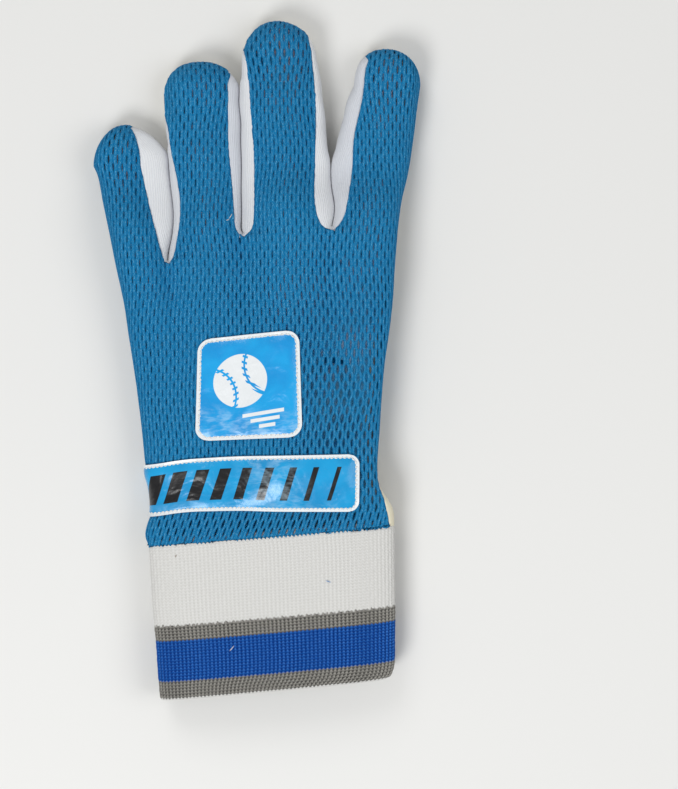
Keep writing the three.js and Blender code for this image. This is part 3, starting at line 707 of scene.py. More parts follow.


# The back's blue knit. A solid one has its holes painted instead of cut, as dark dots of painted shade.
def makeMeshKnit(name, isSolid=False):
    finish = Finish(name, Roughness=0.8, Specular_IOR_Level=0.12)
    place = finish.clothPlace()
    across, along, _ = finish.split(place)
    crown = finish.attribute("crown")
    wander = finish.noise(place, 0.5, 2.0)
    ply = ((crown * meshLook["plies"] + along / meshLook["twist"] + wander * 2.4) * (2 * math.pi)).sine()
    fine = finish.noise(finish.stretch(place, (2.0, 0.6, 1.0)), 1.3, 3.0, 0.62)
    fleck = finish.noise(finish.stretch(place, (2.0, 0.75, 1.0)), 2.3, 2.0, 0.6)
    patch = finish.noise(finish.objectPlace(), 26.0, 3.0, 0.6)
    # The crown term paints shade on the yarn towards the hole edges and a highlight on its crowns; the noise
    # terms are the yarn's own uneven tone, and the glint flecks are painted highlights.
    tone = crown * 0.24 + ply * 0.13 + fine * 0.66 + patch * 0.24 - 0.02
    low = finish.mixPaint(tone.step(0.2, 0.62), meshLook["deep"], meshLook["plain"])
    colour = finish.mixPaint(tone.step(0.62, 0.95), low, meshLook["light"])
    glint = (fleck * 0.8 + ply * 0.08 + crown * 0.12).step(0.5, 0.68)
    colour = finish.mixPaint(glint * 0.62, colour, meshLook["glint"])
    if isSolid:
        # Dark dots of painted shade in the hole colour stand for the holes.
        cellA = across / meshLook["pitch"]
        cellB = along / meshLook["row"]
        holeShadeDots = (cellA * (2 * math.pi)).join("COSINE") * (cellB * math.pi).join("COSINE")
        colour = finish.mixPaint(holeShadeDots.size().step(0.78, 0.92) * 0.8, colour, meshLook["hole"])
    finish.feed(Base_Color=colour)
    finish.relief(ply * 0.06 + fine * 0.16 + fleck * 0.06)
    return finish.material


innerLook = {"dark": paint(84, 196, 250), "mid": paint(124, 212, 254), "pale": paint(236, 226, 238)}


# The palm's inner side, seen through the mesh: dark in the hand, paler here and there in the fingers.
# Its colours are painted far lighter than the cloth, as painted light for the light that comes in through the
# thin knit; the pale spots in the fingers are the suede's inner face with painted light on it.
def makeInner():
    finish = Finish("glove_inside", Roughness=0.95)
    place = finish.objectPlace()
    _, y, _ = finish.split(place)
    spot = finish.noise(place, 190.0, 2.0, 0.6)
    cloud = finish.noise(place, 48.0, 2.0, 0.5)
    inFinger = (y + cloud * 0.05).step(0.015, 0.07)
    colour = finish.mixPaint(cloud.step(0.35, 0.65), innerLook["dark"], innerLook["mid"])
    pale = (spot * 0.5 + cloud * 0.5 + inFinger * 0.1).step(0.54, 0.62) * (inFinger * 0.8 + 0.12)
    finish.feed(Base_Color=finish.mixPaint(pale, colour, innerLook["pale"]))
    return finish.material


suedeLook = {
    "plain": paint(212, 206, 182), "pale": paint(226, 221, 202), "dull": paint(176, 169, 143),
    "thumb": paint(181, 176, 162), "toneShift": paint(140, 136, 118),
}


def makeSuede(name, isThumb=False):
    finish = Finish(name, Roughness=0.95, Sheen_Weight=0.25, Sheen_Roughness=0.6)
    place = finish.objectPlace()
    nap = finish.noise(place, 420.0, 4.0, 0.65)
    cloud = finish.noise(place, 34.0, 4.0, 0.6, 0.4)
    broad = finish.noise(place, 11.0, 2.0, 0.5)
    tone = cloud * 0.75 + nap * 0.35 + broad * 0.2 - 0.15
    # The thumb's suede is greyer: partly the leather's own tone and partly painted shade of its tilted panel.
    base = suedeLook["thumb"] if isThumb else suedeLook["plain"]
    low = finish.mixPaint(tone.step(0.2, 0.55), suedeLook["dull"], base)
    colour = finish.mixPaint(tone.step(0.6, 0.85), low, suedeLook["pale"])
    # The palm gets a darker slanted band between two side limits.
    if not isThumb:
        x, y, _ = finish.split(place)
        wave = (broad - 0.5) * 0.02
        slant = y + x * 0.25 + wave
        inBand = slant.step(0.0, 0.003) * (1 - slant.step(0.026, 0.031))
        side = (x + wave).step(-0.022, -0.018) * (1 - (x + wave).step(0.034, 0.039))
        colour = finish.mixPaint(inBand * side * 0.35, colour, suedeLook["toneShift"])
    finish.feed(Base_Color=colour)
    finish.relief(nap * 0.10 + cloud * 0.12)
    return finish.material


gussetLook = {
    "plain": paint(218, 220, 222), "shade": paint(198, 201, 208), "legShade": paint(184, 189, 200),
    "crease": paint(214, 216, 222), "rib": 0.62,
}


def makeGussetKnit():
    finish = Finish("white_gusset_knit", Roughness=0.88, Sheen_Weight=0.2, Sheen_Roughness=0.5)
    place = finish.clothPlace()
    across, along, _ = finish.split(place)
    wander = finish.noise(place, 0.35, 2.0) * 0.8
    rib = ((across + wander * 0.12) * (2 * math.pi / gussetLook["rib"])).sine()
    rows = (along * (2 * math.pi / 0.55) + rib * 1.1).sine()
    fine = finish.noise(place, 3.0, 3.0, 0.6)
    tone = rib * 0.14 + fine * 0.4 + 0.38
    colour = finish.mixPaint(tone.step(0.15, 0.7), gussetLook["shade"], gussetLook["plain"])
    # Legs that lie in shade get painted shade.
    colour = finish.mixPaint(finish.attribute("paintedLegShade") * (0.55 + fine * 0.3), colour, gussetLook["legShade"])
    # Painted shade along the line where two legs meet.
    colour = finish.mixPaint(finish.attribute("crease"), colour, gussetLook["crease"])
    finish.feed(Base_Color=colour)
    finish.relief(rib * 0.06 + rows * 0.018 + fine * 0.05)
    return finish.material


cuffLook = {
    "white": paint(213, 213, 211), "shadedWhite": paint(192, 191, 187), "grey": paint(146, 144, 138),
    "greyDark": paint(70, 69, 66), "blue": paint(8, 80, 163), "blueDark": paint(2, 48, 119),
    "blueLight": paint(60, 116, 192),
    "rib": 1.55, "stitch": 1.15,
    "greyFrom": 30.9, "blueFrom": 36.7, "blueTo": 52.1, "hem": 58.5,
}


def makeCuffKnit():
    finish = Finish("cuff_knit", Roughness=0.86, Specular_IOR_Level=0.15)
    place = finish.clothPlace()
    across, along, _ = finish.split(place)
    rib = (across * (2 * math.pi / cuffLook["rib"])).sine()
    double = (across * (math.pi / cuffLook["rib"])).sine()
    stitch = (along * (2 * math.pi / cuffLook["stitch"]) + rib * 1.5).sine()
    loose = finish.noise(place, 1.3, 3.0, 0.6)
    fine = finish.noise(place, 3.2, 3.0, 0.65)
    scallop = double * 0.18 + rib * 0.3 + (loose - 0.5) * 2.2
    small = rib * 0.2 + (loose - 0.5) * 0.9
    inGrey = (along + scallop).step(cuffLook["greyFrom"] - 0.25, cuffLook["greyFrom"] + 0.25)
    inBlue = (along + small).step(cuffLook["blueFrom"] - 0.2, cuffLook["blueFrom"] + 0.2)
    pastBlue = (along + small).step(cuffLook["blueTo"] - 0.2, cuffLook["blueTo"] + 0.2)
    inHem = (along + small).step(cuffLook["hem"] - 0.2, cuffLook["hem"] + 0.3)
    lumps = finish.noise(finish.stretch(place, (1.0, 0.75, 1.0)), 1.5, 2.0, 0.6)
    # depth follows the knit's ribs, stitches and lumps: its hollows get the darker colours as painted shade
    # and its raised stitches the light blue as a painted highlight, together with the yarn's own uneven tone.
    depth = (rib * 0.3 + stitch * 0.3 + fine * 0.5 + lumps * 0.6 - 0.1).step(0.05, 0.8)
    whites = finish.mixPaint(depth * 0.55 + fine * 0.4, cuffLook["shadedWhite"], cuffLook["white"])
    greys = finish.mixPaint(depth, cuffLook["greyDark"], cuffLook["grey"])
    blues = finish.mixPaint(depth, cuffLook["blueDark"], cuffLook["blue"])
    blues = finish.mixPaint((depth * fine * 1.6).step(0.62, 0.95), blues, cuffLook["blueLight"])
    fleck = finish.noise(place, 0.55, 2.0, 0.5).step(0.74, 0.78) * 0.16
    whites = finish.mixPaint(fleck, whites, cuffLook["grey"])
    colour = finish.mixPaint(inGrey, whites, greys)
    colour = finish.mixPaint(inBlue, colour, blues)
    colour = finish.mixPaint(pastBlue, colour, greys)
    colour = finish.mixPaint(inHem, colour, whites)
    finish.feed(Base_Color=colour)
    finish.relief((stitch * 0.1 + fine * 0.16 + lumps * 0.22) * (inGrey * 0.6 + 0.4))
    return finish.material


vinylLook = {
    "squareBlue": paint(14, 158, 222), "squareDeep": paint(8, 142, 210), "squareBorder": 1.5,
    "barBlue": paint(10, 154, 212), "barDeep": paint(4, 138, 196), "barBorder": 1.2,
    "white": paint(222, 226, 228), "black": paint(12, 12, 15), "glare": paint(196, 226, 244),
    "needle": paint(150, 144, 150), "pitch": 1.62,
}
vinylShine = {"Roughness": 0.3, "Specular_IOR_Level": 0.4, "Coat_Weight": 0.22, "Coat_Roughness": 0.18}


# How far outside a frame with round corners a place is, from how far it is past the corners' centres.
def frameDistance(pastA, pastB, corner):
    overA, overB = pastA.most(0.0), pastB.most(0.0)
    return (overA * overA + overB * overB) ** 0.5 - corner


def ringMask(distance, width, soft=0.08):
    return 1 - distance.size().step(width - soft, width + soft)


# Cloudy whitish streaks of painted glare, a painted reflection that lightens the vinyl's colour.
def vinylPaintedGlare(finish, place):
    cloud = finish.noise(finish.stretch(place, (0.8, 1.5, 1.0)), 0.16, 3.0, 0.6, 0.8)
    streak = finish.noise(finish.stretch(place, (0.5, 2.2, 1.0)), 0.7, 3.0, 0.6)
    return (cloud * 0.7 + streak * 0.3).step(0.42, 0.66)


# Colours a patch: its blue ground, black and white marks, painted glare, and the white edge that the stitches
# bite into.
def paintVinyl(finish, place, kind, distance, black, white, toneShift):
    a, b, _ = finish.split(place)
    width = vinylLook[kind + "Border"]
    beat = ((a + b) * (2 * math.pi / vinylLook["pitch"])).sine()
    uneven = beat * 0.16 + (finish.noise(place, 1.4, 1.0) - 0.5) * 0.4
    border = (distance + uneven).step(-width - 0.12, -width + 0.12)
    needles = ringMask(distance + width * 0.72, 0.2, 0.12) * beat.step(0.72, 0.95) * 0.7
    tone = finish.noise(place, 0.08, 2.0).step(0.35, 0.65)
    colour = finish.mixPaint(tone, vinylLook[kind + "Deep"], vinylLook[kind + "Blue"])
    if black:
        colour = finish.mixPaint(black, colour, vinylLook["black"])
    colour = finish.mixPaint(vinylPaintedGlare(finish, place) * toneShift, colour, vinylLook["glare"])
    colour = finish.mixPaint(white.most(border) if white else border, colour, vinylLook["white"])
    finish.feed(Base_Color=finish.mixPaint(needles, colour, vinylLook["needle"]))
    crease = finish.noise(place, 0.1, 2.0, 0.5, 0.8)
    ripple = finish.noise(place, 0.3, 2.0, 0.5, 0.4)
    speck = finish.noise(place, 2.2, 2.0, 0.5)
    finish.relief(crease * 1.1 + ripple * 0.22 + speck * 0.012, 0.8)
    return finish.material


# The square patch shows a ball with two curved seams, and three slanted lines under it.
squareMarks = {
    "centre": (-3.0, 2.6), "radius": 10.6, "seamAway": 16.5, "seamRadius": 13.2, "turn": 0.45,
    "lines": 3, "lineTop": -11.2, "lineGap": 2.5, "lineLeft": -2.0, "lineRight": 13.4, "lineTilt": 0.12,
}


def makeSquareVinyl(size):
    finish = Finish("badge_vinyl_square", **vinylShine)
    place = finish.clothPlace()
    a, b, _ = finish.split(place)
    corner = size["corner"]
    half = size["width"] / 2 - corner, size["height"] / 2 - corner
    distance = frameDistance(a.size() - half[0], b.size() - half[1], corner)
    marks = squareMarks
    ballA, ballB = a - marks["centre"][0], b - marks["centre"][1]
    ball = (ballA * ballA + ballB * ballB) ** 0.5
    white = 1 - ball.step(marks["radius"] - 0.1, marks["radius"] + 0.1)
    for side in (-1, 1):
        seamA = ballA + ballB * marks["turn"] - side * marks["seamAway"]
        seamB = ballB - ballA * marks["turn"]
        arc = (seamA * seamA + seamB * seamB) ** 0.5 - marks["seamRadius"]
        ticks = (ballB * 2.6 + ballA * side * 1.1).sine().step(0.25, 0.45)
        white = white * (1 - ringMask(arc, 0.42).most(ringMask(arc, 1.25) * ticks))
    for k in range(marks["lines"]):
        level = b - marks["lineTop"] + marks["lineGap"] * k - a * marks["lineTilt"]
        line = (1 - level.size().step(0.62, 0.78)) * (a - (marks["lineLeft"] + 3.2 * k)).step(-0.2, 0.0)
        white = white.most(line * (1 - (a - (marks["lineRight"] - 1.6 * k)).step(0.0, 0.2)))
    # Painted glare, strongest towards the square's lower part.
    toneShift = (1 - (b + a * 0.15).step(-15.0, -5.0)) * 0.36
    return paintVinyl(finish, place, "square", distance, None, white, toneShift)


# The bar shows a row of slanted black bars that grow wider to the left.
barMarks = {"count": 9, "first": -9.4, "gap": 8.6, "width": 1.6, "grow": 0.55, "slant": 0.32, "half": 6.1}


def makeBarVinyl(size):
    finish = Finish("badge_vinyl_bar", **vinylShine)
    place = finish.clothPlace()
    a, b, _ = finish.split(place)
    # The left end runs on round the edge of the hand, so the frame has no line there.
    corner = size["corner"]
    distance = frameDistance(a + corner, b.size() - (size["height"] / 2 - corner), corner)
    black = None
    for k in range(barMarks["count"]):
        half = (barMarks["width"] + barMarks["grow"] * k) / 2
        slanted = (a - b * barMarks["slant"] - (barMarks["first"] - barMarks["gap"] * k)).size()
        bar = 1 - slanted.step(half - 0.08, half + 0.08)
        bar = bar * (1 - b.size().step(barMarks["half"], barMarks["half"] + 0.15))
        black = bar if black is None else black.most(bar)
    # The middle of the bar gets the most painted glare, and its lower edge a little.
    middle = 1 - (a + 32.0 + b * 0.3).size().step(3.0, 15.0)
    toneShift = middle.most((1 - b.step(-9.0, -5.0)) * 0.5) * 0.26
    return paintVinyl(finish, place, "bar", distance, black, None, toneShift)


leatherLook = {"black": paint(9, 9, 11), "panel": paint(33, 33, 35), "toneShift": paint(48, 48, 51)}


def makeLeather(name, isPanel=False):
    finish = Finish(name, Roughness=0.5, Specular_IOR_Level=0.3)
    place = finish.objectPlace()
    grain = finish.cells(place, 1900.0)
    patch = finish.noise(place, 60.0, 3.0, 0.55)
    low = leatherLook["panel"] if isPanel else leatherLook["black"]
    rub = (patch + grain * 0.2).step(0.5, 0.95) * (1.0 if isPanel else 0.45)
    finish.feed(Base_Color=finish.mixPaint(rub, low, leatherLook["toneShift"]))
    finish.relief(grain * 0.05 + patch * 0.05)
    return finish.material


def makeThread(name, tone):
    finish = Finish(name, Roughness=0.6, Sheen_Weight=0.1)
    twist = finish.noise(finish.objectPlace(), 2400.0, 2.0)
    finish.feed(Base_Color=finish.mixPaint(twist.step(0.3, 0.6), shaded(tone, 0.72), tone))
    finish.relief(twist * 0.06)
    return finish.material


finishes = {
    "mesh": makeMeshKnit("blue_mesh_knit"),
    "solidMesh": makeMeshKnit("blue_mesh_knit_solid", True),
    "inside": makeInner(),
    "suede": makeSuede("palm_suede"),
    "thumbSuede": makeSuede("thumb_suede_partly_shaded", True),
    "gusset": makeGussetKnit(),
    "cuff": makeCuffKnit(),
    "leather": makeLeather("strap_leather"),
    "leatherPanel": makeLeather("strap_leather_panel", True),
    "whiteThread": makeThread("white_thread", paint(232, 232, 226)),
    "creamThread": makeThread("cream_thread", paint(198, 190, 164)),
    "blackThread": makeThread("black_thread", paint(30, 30, 32)),
    "blueThread": makeThread("blue_thread", paint(40, 120, 190)),
    "brownThread": makeThread("brown_thread", paint(120, 96, 70)),
}

print("stage: mesh back")
net = {
    "subRows": 3, "hole": 0.47, "thick": 0.7, "crown": 0.16, "seamGap": 0.85, "uneven": 0.36, "margin": 3.0,
    "tipStretch": 0.16, "from": -76, "to": 150, "reach": 84,
}
# How wide a hole is at each line of the two rows that it and its neighbour share.
holeProfile = np.array([0.0, 0.75, 1.0, 0.75, 0.0, 0.0])
# Patches where the mesh stands more or less open: centre, reach each way and how much.
openPatches = {
    "x": [33, 24, -50, -22, 14, 50, -28, 4, -20, 8],
    "y": [-14, -52, 76, 98, 112, 100, -5, 52, -64, 88],
    "reachX": [17, 26, 11, 12, 15, 10, 16, 40, 40, 14],
    "reachY": [40, 14, 13, 16, 13, 18, 46, 22, 7, 14],
    "more": [0.66, 0.45, 0.22, 0.1, 0.3, 0.14, -0.16, -0.1, 0.3, -0.12],
}


# How far the holes of the mesh stand open at a place: most near the wrist on the index side.
def meshOpenness(across, along):
    field = 0.32 + 0.06 * np.sin(across / 9.0 + along / 14.0)
    for x, y, reachX, reachY, more in zip(*openPatches.values()):
        field = field + more * np.exp(-((across - x) / reachX) ** 2 - ((along - y) / reachY) ** 2)
    return np.clip(field, 0.16, 1.15)


# How far the mesh is pulled sideways: its columns lean near the wrist and wander everywhere.
def meshWarp(across, along):
    lean = 0.05 * (along + 10) * np.exp(-((across - 34) / 30) ** 2 - ((along + 20) / 60) ** 2)
    slant = -0.3 * np.maximum(-57 - along, 0)
    wave = 0.5 * np.sin(along / 11.0 + across / 23.0) + 0.3 * np.sin(along / 5.3 - across / 17.0)
    stretch = 0 * across
    for finger in fingers:
        tipX, tipY = finger["tip"]
        share = smooth(along, tipY - 30, tipY - 12) * (1 - smooth(np.abs(across - tipX), 8.5, 14.4))
        stretch = stretch + net["tipStretch"] * (across - tipX) * share
    return lean + slant + wave + stretch


# A repeatable uneven value from 0 to 1 for each hole.
def scatter(a, b):
    value = np.sin(a * 12.9898 + b * 78.233) * 43758.5453
    return value - np.floor(value)


# The columns of cloth that a finger takes at a row, with a margin that its edges then trim.
def ownColumns(number, rowY, pitch, isUpper, margin):
    y = planY(number, np.array([rowY, rowY + pitch * 2]), isUpper)
    low, high = limits(number, y)
    forkColumns = [int(round(x / pitch)) for x in forkX]
    first = forkColumns[number - 1] if number else int(-net["reach"] / pitch)
    last = forkColumns[number] if number < 3 else int(net["reach"] / pitch)
    if number and low.min() > -farOut:
        first = int(math.floor((low.min() - margin) / pitch))
    if number < 3 and high.max() < farOut:
        last = int(math.ceil((high.max() + margin) / pitch))
    return range(first, last)


# How far a place on the cloth lies past the seam under the hand's outer edge.
def overReach(isLeft, x, y):
    rows = np.linspace(y.min(), y.max(), 400)
    begin = np.interp(y, rows, pastTurn(isLeft, 0 * rows, rows))
    reach = np.interp(y, rows, turnedPoints(isLeft, rows, 0 * rows, True)[2])
    return begin + (-x if isLeft else x) - reach


# The knit back: strips of cloth side by side, each with its right edge (1), crown (0) and left edge (-1).
def buildNet():
    half = meshLook["pitch"] / 2
    sub = net["subRows"]
    corners = Corners()
    faces = []
    for line in range(int(net["from"] / meshLook["row"]) * sub, int(net["to"] / meshLook["row"]) * sub):
        for owner in range(4):
            rowY = line * meshLook["row"] / sub
            if rowY > tipRun(owner, True) + 1:
                continue
            for column in ownColumns(owner, rowY, half, True, net["margin"]):
                strip = []
                for kind, place in ((1, column), (0, column), (-1, column + 1)):
                    strip.append([corners.at(owner, kind, place, line + k) for k in (0, 1)])
                for (a0, a1), (b0, b1) in zip(strip, strip[1:]):
                    faces.append((a0, b0, b1, a1))
    owner, kind, column, line = corners.keys()
    along = line * meshLook["row"] / sub

    def holeHalf(columns):
        phase = line + sub * (columns % 2)
        middle = columns * half
        uneven = 1 + net["uneven"] * (2 * scatter(np.floor_divide(phase, 2 * sub), columns) - 1)
        width = net["hole"] * meshOpenness(middle, along) * holeProfile[phase % (2 * sub)] * uneven
        middle = middle + meshWarp(middle, along)
        # A hole closes where its strip of cloth would be too near a seam.
        for number in range(4):
            mine = owner == number
            x, rowAlong = middle[mine], along[mine]
            y = planY(number, rowAlong, True)
            low, high = limits(number, y)
            near = (x < low + net["seamGap"]) | (x > high - net["seamGap"])
            near |= y < cuffSeamY(x, y) + net["seamGap"]
            near |= rowAlong > tipRun(number, True) - net["seamGap"]
            if number in (0, 3):
                near |= overReach(number == 0, x, y) > -net["seamGap"]
            width[mine] = np.where(near, 0, width[mine])
        return width

    own = holeHalf(column)
    edgeLeft = column * half + own
    edgeRight = (column + 1) * half - holeHalf(column + 1)
    middle = (edgeLeft + edgeRight) / 2
    flat = np.where(kind == 1, edgeLeft, np.where(kind == -1, column * half - own, middle))
    points = onSkin(flat + meshWarp(flat, along), along.astype(float), owner, True)
    crown = np.where(kind == 0, 1.0, 0.0)
    obj = makeObject("back_mesh", points, faces, np.stack([flat, along], axis=1), {"crown": crown})
    weld(obj)
    raiseCrowns(obj)
    return hemmed(obj, net["thick"])


def raiseCrowns(obj):
    mesh = obj.data
    points = readAll(mesh.vertices, "co", 3)
    normals = readAll(mesh.vertex_normals, "vector", 3)
    crown = readAll(mesh.attributes["crown"].data, "value", 1)
    points = points + normals * (crown * net["crown"] * mm)
    mesh.vertices.foreach_set("co", points.ravel())
    mesh.update()


finishPiece(buildNet(), ["back_panel"], finishes["mesh"], finishes["inside"])

print("stage: suede palm")
thumb = {
    "base": (25.5, -45.0), "tip": (33.0, 42.0), "halfBase": 14.5, "halfMiddle": 16.8, "halfTip": 12.5,
    "roundBase": 20, "roundTip": 15, "seam": 0.78, "openUntil": 0.5, "closedFrom": 0.62,
    "height": 9.7, "gap": 0.35, "thick": 1.2, "rows": 62, "columns": 40, "tipFlat": 12, "baseFlat": 14,
    "tipShare": 0.42, "square": 0.8, "halfGirth": 40,
}
thumbAxis = np.array(thumb["tip"]) - np.array(thumb["base"])
thumbLength = float(np.linalg.norm(thumbAxis))
thumbAxis = thumbAxis / thumbLength
palm = {
    "step": 1.4, "tipStep": 1.1, "tipGap": 0.3, "thick": 1.2,
    "holeAlong": 25, "holeHalfLength": 21, "holeHalfWidth": 12.6,
    "ovals": {"oval": (3.0, 0, 360), "outerOval": (5.2, 100, 260)},
    "dart": [(18, -47), (15, -56), (14, -66)], "tipStitches": (-1.1, 1.3), "tipStitchEnd": 2.5,
}


# How far inside the thumb's opening a place on the palm is: below 1 it is in the hole.
def holeShare(x, y):
    along = (x - thumb["base"][0]) * thumbAxis[0] + (y - thumb["base"][1]) * thumbAxis[1]
    across = (x - thumb["base"][0]) * thumbAxis[1] - (y - thumb["base"][1]) * thumbAxis[0]
    along = along - palm["holeAlong"]
    return np.hypot(along / palm["holeHalfLength"], across / palm["holeHalfWidth"]), along, across


# A plain sheet of cloth on the palm side, between two distances along the fingers.
def buildSheet(name, start, ends, thick, step, hasHole=False):
    corners = Corners()
    faces = []
    lines = int(math.ceil((max(ends.values()) - start) / step))
    for line in range(lines):
        for owner, end in ends.items():
            if start + line * step > end:
                continue
            for column in ownColumns(owner, start + line * step, step, False, step):
                turns = ((0, 0), (1, 0), (1, 1), (0, 1))
                face = [corners.at(owner, column + i, line + j) for i, j in turns]
                faces.append(face[::-1])
    owner, column, line = corners.keys()
    across = column * step
    along = start + line * step
    for number, end in ends.items():
        along = np.where(owner == number, np.minimum(along, end), along)
    if hasHole:
        share, holeAlong, holeAcross = holeShare(across, along)
        inside = share < 1
        faces = [face for face in faces if not all(inside[i] for i in face)]
        grow = np.where(inside, 1 / np.maximum(share, 0.05), 1) - 1
        across = across + (holeAlong * thumbAxis[0] + holeAcross * thumbAxis[1]) * grow
        along = along + (holeAlong * thumbAxis[1] - holeAcross * thumbAxis[0]) * grow
    points = onSkin(across.astype(float), along.astype(float), owner, False)
    obj = makeObject(name, points, faces, np.stack([across, along], axis=1))
    weld(obj)
    return hemmed(obj, thick)


def tipSeamRun(number):
    return fingers[number]["tip"][1] - shape["tipSeam"]


palmEnds = {n: tipSeamRun(n) for n in range(4)}
palmSheet = buildSheet("palm_suede", net["from"], palmEnds, palm["thick"], palm["step"], True)
finishPiece(palmSheet, ["palm_panel"], finishes["suede"], finishes["inside"])
for number, finger in enumerate(fingers):
    start = tipSeamRun(number) + palm["tipGap"]
    ends = {number: tipRun(number, False)}
    tip = buildSheet(f"{finger['name']}_tip_suede", start, ends, palm["thick"], palm["tipStep"])
    node = f"{finger['name']}_fingertip_patch"
    finishPiece(tip, [node], finishes["suede"], finishes["inside"])

print("stage: gussets between the fingers")
gusset = {
    "thick": 1.0, "columns": 20, "rows": 78, "tuck": 1.5, "gap": 0.05, "wrinkle": 0.2, "under": 0.35,
    "bulge": 0.86, "rise": 0.97, "foot": 4.5, "meet": (0.6, 1.6), "edgeShare": 0.15, "fullness": 1.6,
}
# How much painted shade the leg on each side of a fork gets.
gussetLegShade = {"left": [0.0, 0.75, 0.0], "right": [0.35, 0.05, 0.6]}
# How far the line where two legs meet is pulled aside, and where; fade, at and width place the painted shade
# along that line.
gussetCrease = {
    "shift": [2.0, 0.5, 1.5], "y": [55.0, 76.0, 56.5], "reach": [13.0, 10.0, 7.0], "fade": [3.0, 8.5, 6.0],
    "at": 0.44, "width": 0.08,
}


# One line of cloth across a gusset, from its seam with the mesh to its seam with the palm.
def gussetLine(number, side, y):
    edge, seam, opened = fingerSide(number, side, y)
    fork, other, otherSide, inwards = (number, number + 1, "left", -1) if side == "right" else (
        number - 1, number - 1, "right", 1)
    room = (fingerSide(other, otherSide, y)[0] - edge) / 2
    near = 1 - smooth(np.abs(room), *gusset["meet"])
    bend = np.exp(-((y - gussetCrease["y"][fork]) / gussetCrease["reach"][fork]) ** 2)
    edge = edge + (room - np.sign(room) * gusset["gap"] + gussetCrease["shift"][fork] * bend) * near
    seam = seam + inwards * gusset["under"]
    turn = np.linspace(0, math.pi, gusset["columns"] + 1)[None, :]
    x = blend(seam[:, None], edge[:, None], np.sin(turn) ** gusset["bulge"])
    level = shape["seamLevel"] * np.sqrt(opened)[:, None] * np.cos(turn) * gusset["rise"]
    low = (1 - smooth(y, forkY[fork], forkY[fork] + gusset["foot"]))[:, None]
    rows = y[:, None] + gusset["tuck"] * low * np.sin(turn) ** 2
    z = fingerZ(number, x, rows + 0 * x, level)
    points = np.stack([x, rows + 0 * x, z], axis=2)
    centre = (fingerSide(number, "left", y)[1] + fingerSide(number, "right", y)[1]) / 2
    middle = fingerZ(number, centre, y, 0 * y)
    way = np.stack([centre[:, None] - x, -0.05 + 0 * x, middle[:, None] - z], axis=2)
    way = unit(blend(unit(way), np.array([0.0, -1.0, 0.0]), low[:, :, None] * 0.8))
    thick = gusset["thick"] * blend(gusset["edgeShare"], 1, smooth(opened, 0.1, 0.9))[:, None, None]
    reach = (np.abs(edge - seam) + 2.5)[:, None] * (turn / math.pi - 0.5) * gusset["fullness"]
    # crease paints shade along the line where the two legs meet, fading out towards the fork.
    fade = gussetCrease["fade"][fork]
    near = near * smooth(y - forkY[fork], 0.3 * fade, fade)
    offCrease = (turn / math.pi - gussetCrease["at"]) / gussetCrease["width"]
    crease = np.exp(-offCrease ** 2) * near[:, None]
    return points, points + way * thick, reach, crease


# A closed sheet between two grids of points.
def closedSheet(name, outer, inner, uv, attributes=None):
    rows, columns = outer.shape[:2]
    count = rows * columns
    faces = gridFaces(rows, columns)
    faces += [tuple(i + count for i in face[::-1]) for face in gridFaces(rows, columns)]
    loop = list(range(columns))
    loop += [i * columns + columns - 1 for i in range(1, rows)]
    loop += [(rows - 1) * columns + j for j in range(columns - 2, -1, -1)]
    loop += [i * columns for i in range(rows - 2, 0, -1)]
    for a, b in zip(loop, loop[1:] + loop[:1]):
        faces.append((b, a, a + count, b + count))
    points = np.concatenate([outer.reshape(-1, 3), inner.reshape(-1, 3)])
    twice = {key: np.concatenate([value.ravel(), value.ravel()]) for key, value in (attributes or {}).items()}
    obj = makeObject(name, points, faces, np.concatenate([uv, uv]), twice)
    pointOutwards(obj)
    shadeSmooth(obj, 60)
    return obj


def buildGusset(number):
    legs = []
    for owner, side, flip in ((number, "right", 1), (number + 1, "left", -1)):
        finger = fingers[owner]
        first = finger["tip"][1] - finger["gussetStart"][side] - 0.7
        share = np.linspace(0, 1, gusset["rows"]) ** 1.25
        y = blend(forkY[number], first, share[::-1] if flip == 1 else share[1:])
        outer, inner, reach, crease = gussetLine(owner, side, y)
        length = (y - forkY[number])[:, None] * flip + 0 * reach
        # tone is how much painted shade this leg gets.
        tone = gussetLegShade["left" if flip == 1 else "right"][number]
        legs.append((outer, inner, reach, crease, length, tone + 0 * reach))
    outer, inner, reach, crease, length, tone = map(np.concatenate, zip(*legs))
    normal = gridNormals(outer)
    fold = np.sin(length / 3.7 + reach * 0.5 + 1.3 * np.sin(length / 8.0)) * np.cos(reach / 5.0)
    outer = outer + normal * (fold * gusset["wrinkle"])[:, :, None]
    uv = np.stack([reach.ravel(), length.ravel()], axis=1)
    name = f"{fingers[number]['name']}_gusset_knit"
    return closedSheet(name, outer, inner, uv, {"crease": crease, "paintedLegShade": tone})


def gridNormals(points):
    return unit(np.cross(np.gradient(points, axis=1), np.gradient(points, axis=0)))


# Quads of a grid of points; isLoop joins its last column to its first.
def gridFaces(rows, columns, isLoop=False, isFlipped=False):
    faces = []
    for i in range(rows - 1):
        for j in range(columns if isLoop else columns - 1):
            k = (j + 1) % columns
            corners = (i * columns + j, i * columns + k, (i + 1) * columns + k, (i + 1) * columns + j)
            faces.append(corners[::-1] if isFlipped else corners)
    return faces


for number in range(3):
    piece = buildGusset(number)
    finishPiece(piece, [f"{fingers[number]['name']}_side_gusset"], finishes["gusset"])

print("stage: ribbed cuff")
cuff = {
    "length": 59.3, "middle": -98.0, "ribs": 140, "perRib": 6, "rows": 66, "thick": 2.2, "rib": 0.2,
    "flatRib": 0.35, "weave": 0.05, "weaveStep": 2.3, "fuzz": 0.1, "under": 2.2, "tuck": 1.3, "lip": 1.1,
    "lipSteps": 5, "innerRows": (48.0, 36.0, 24.0, 12.0, 0.0),
}


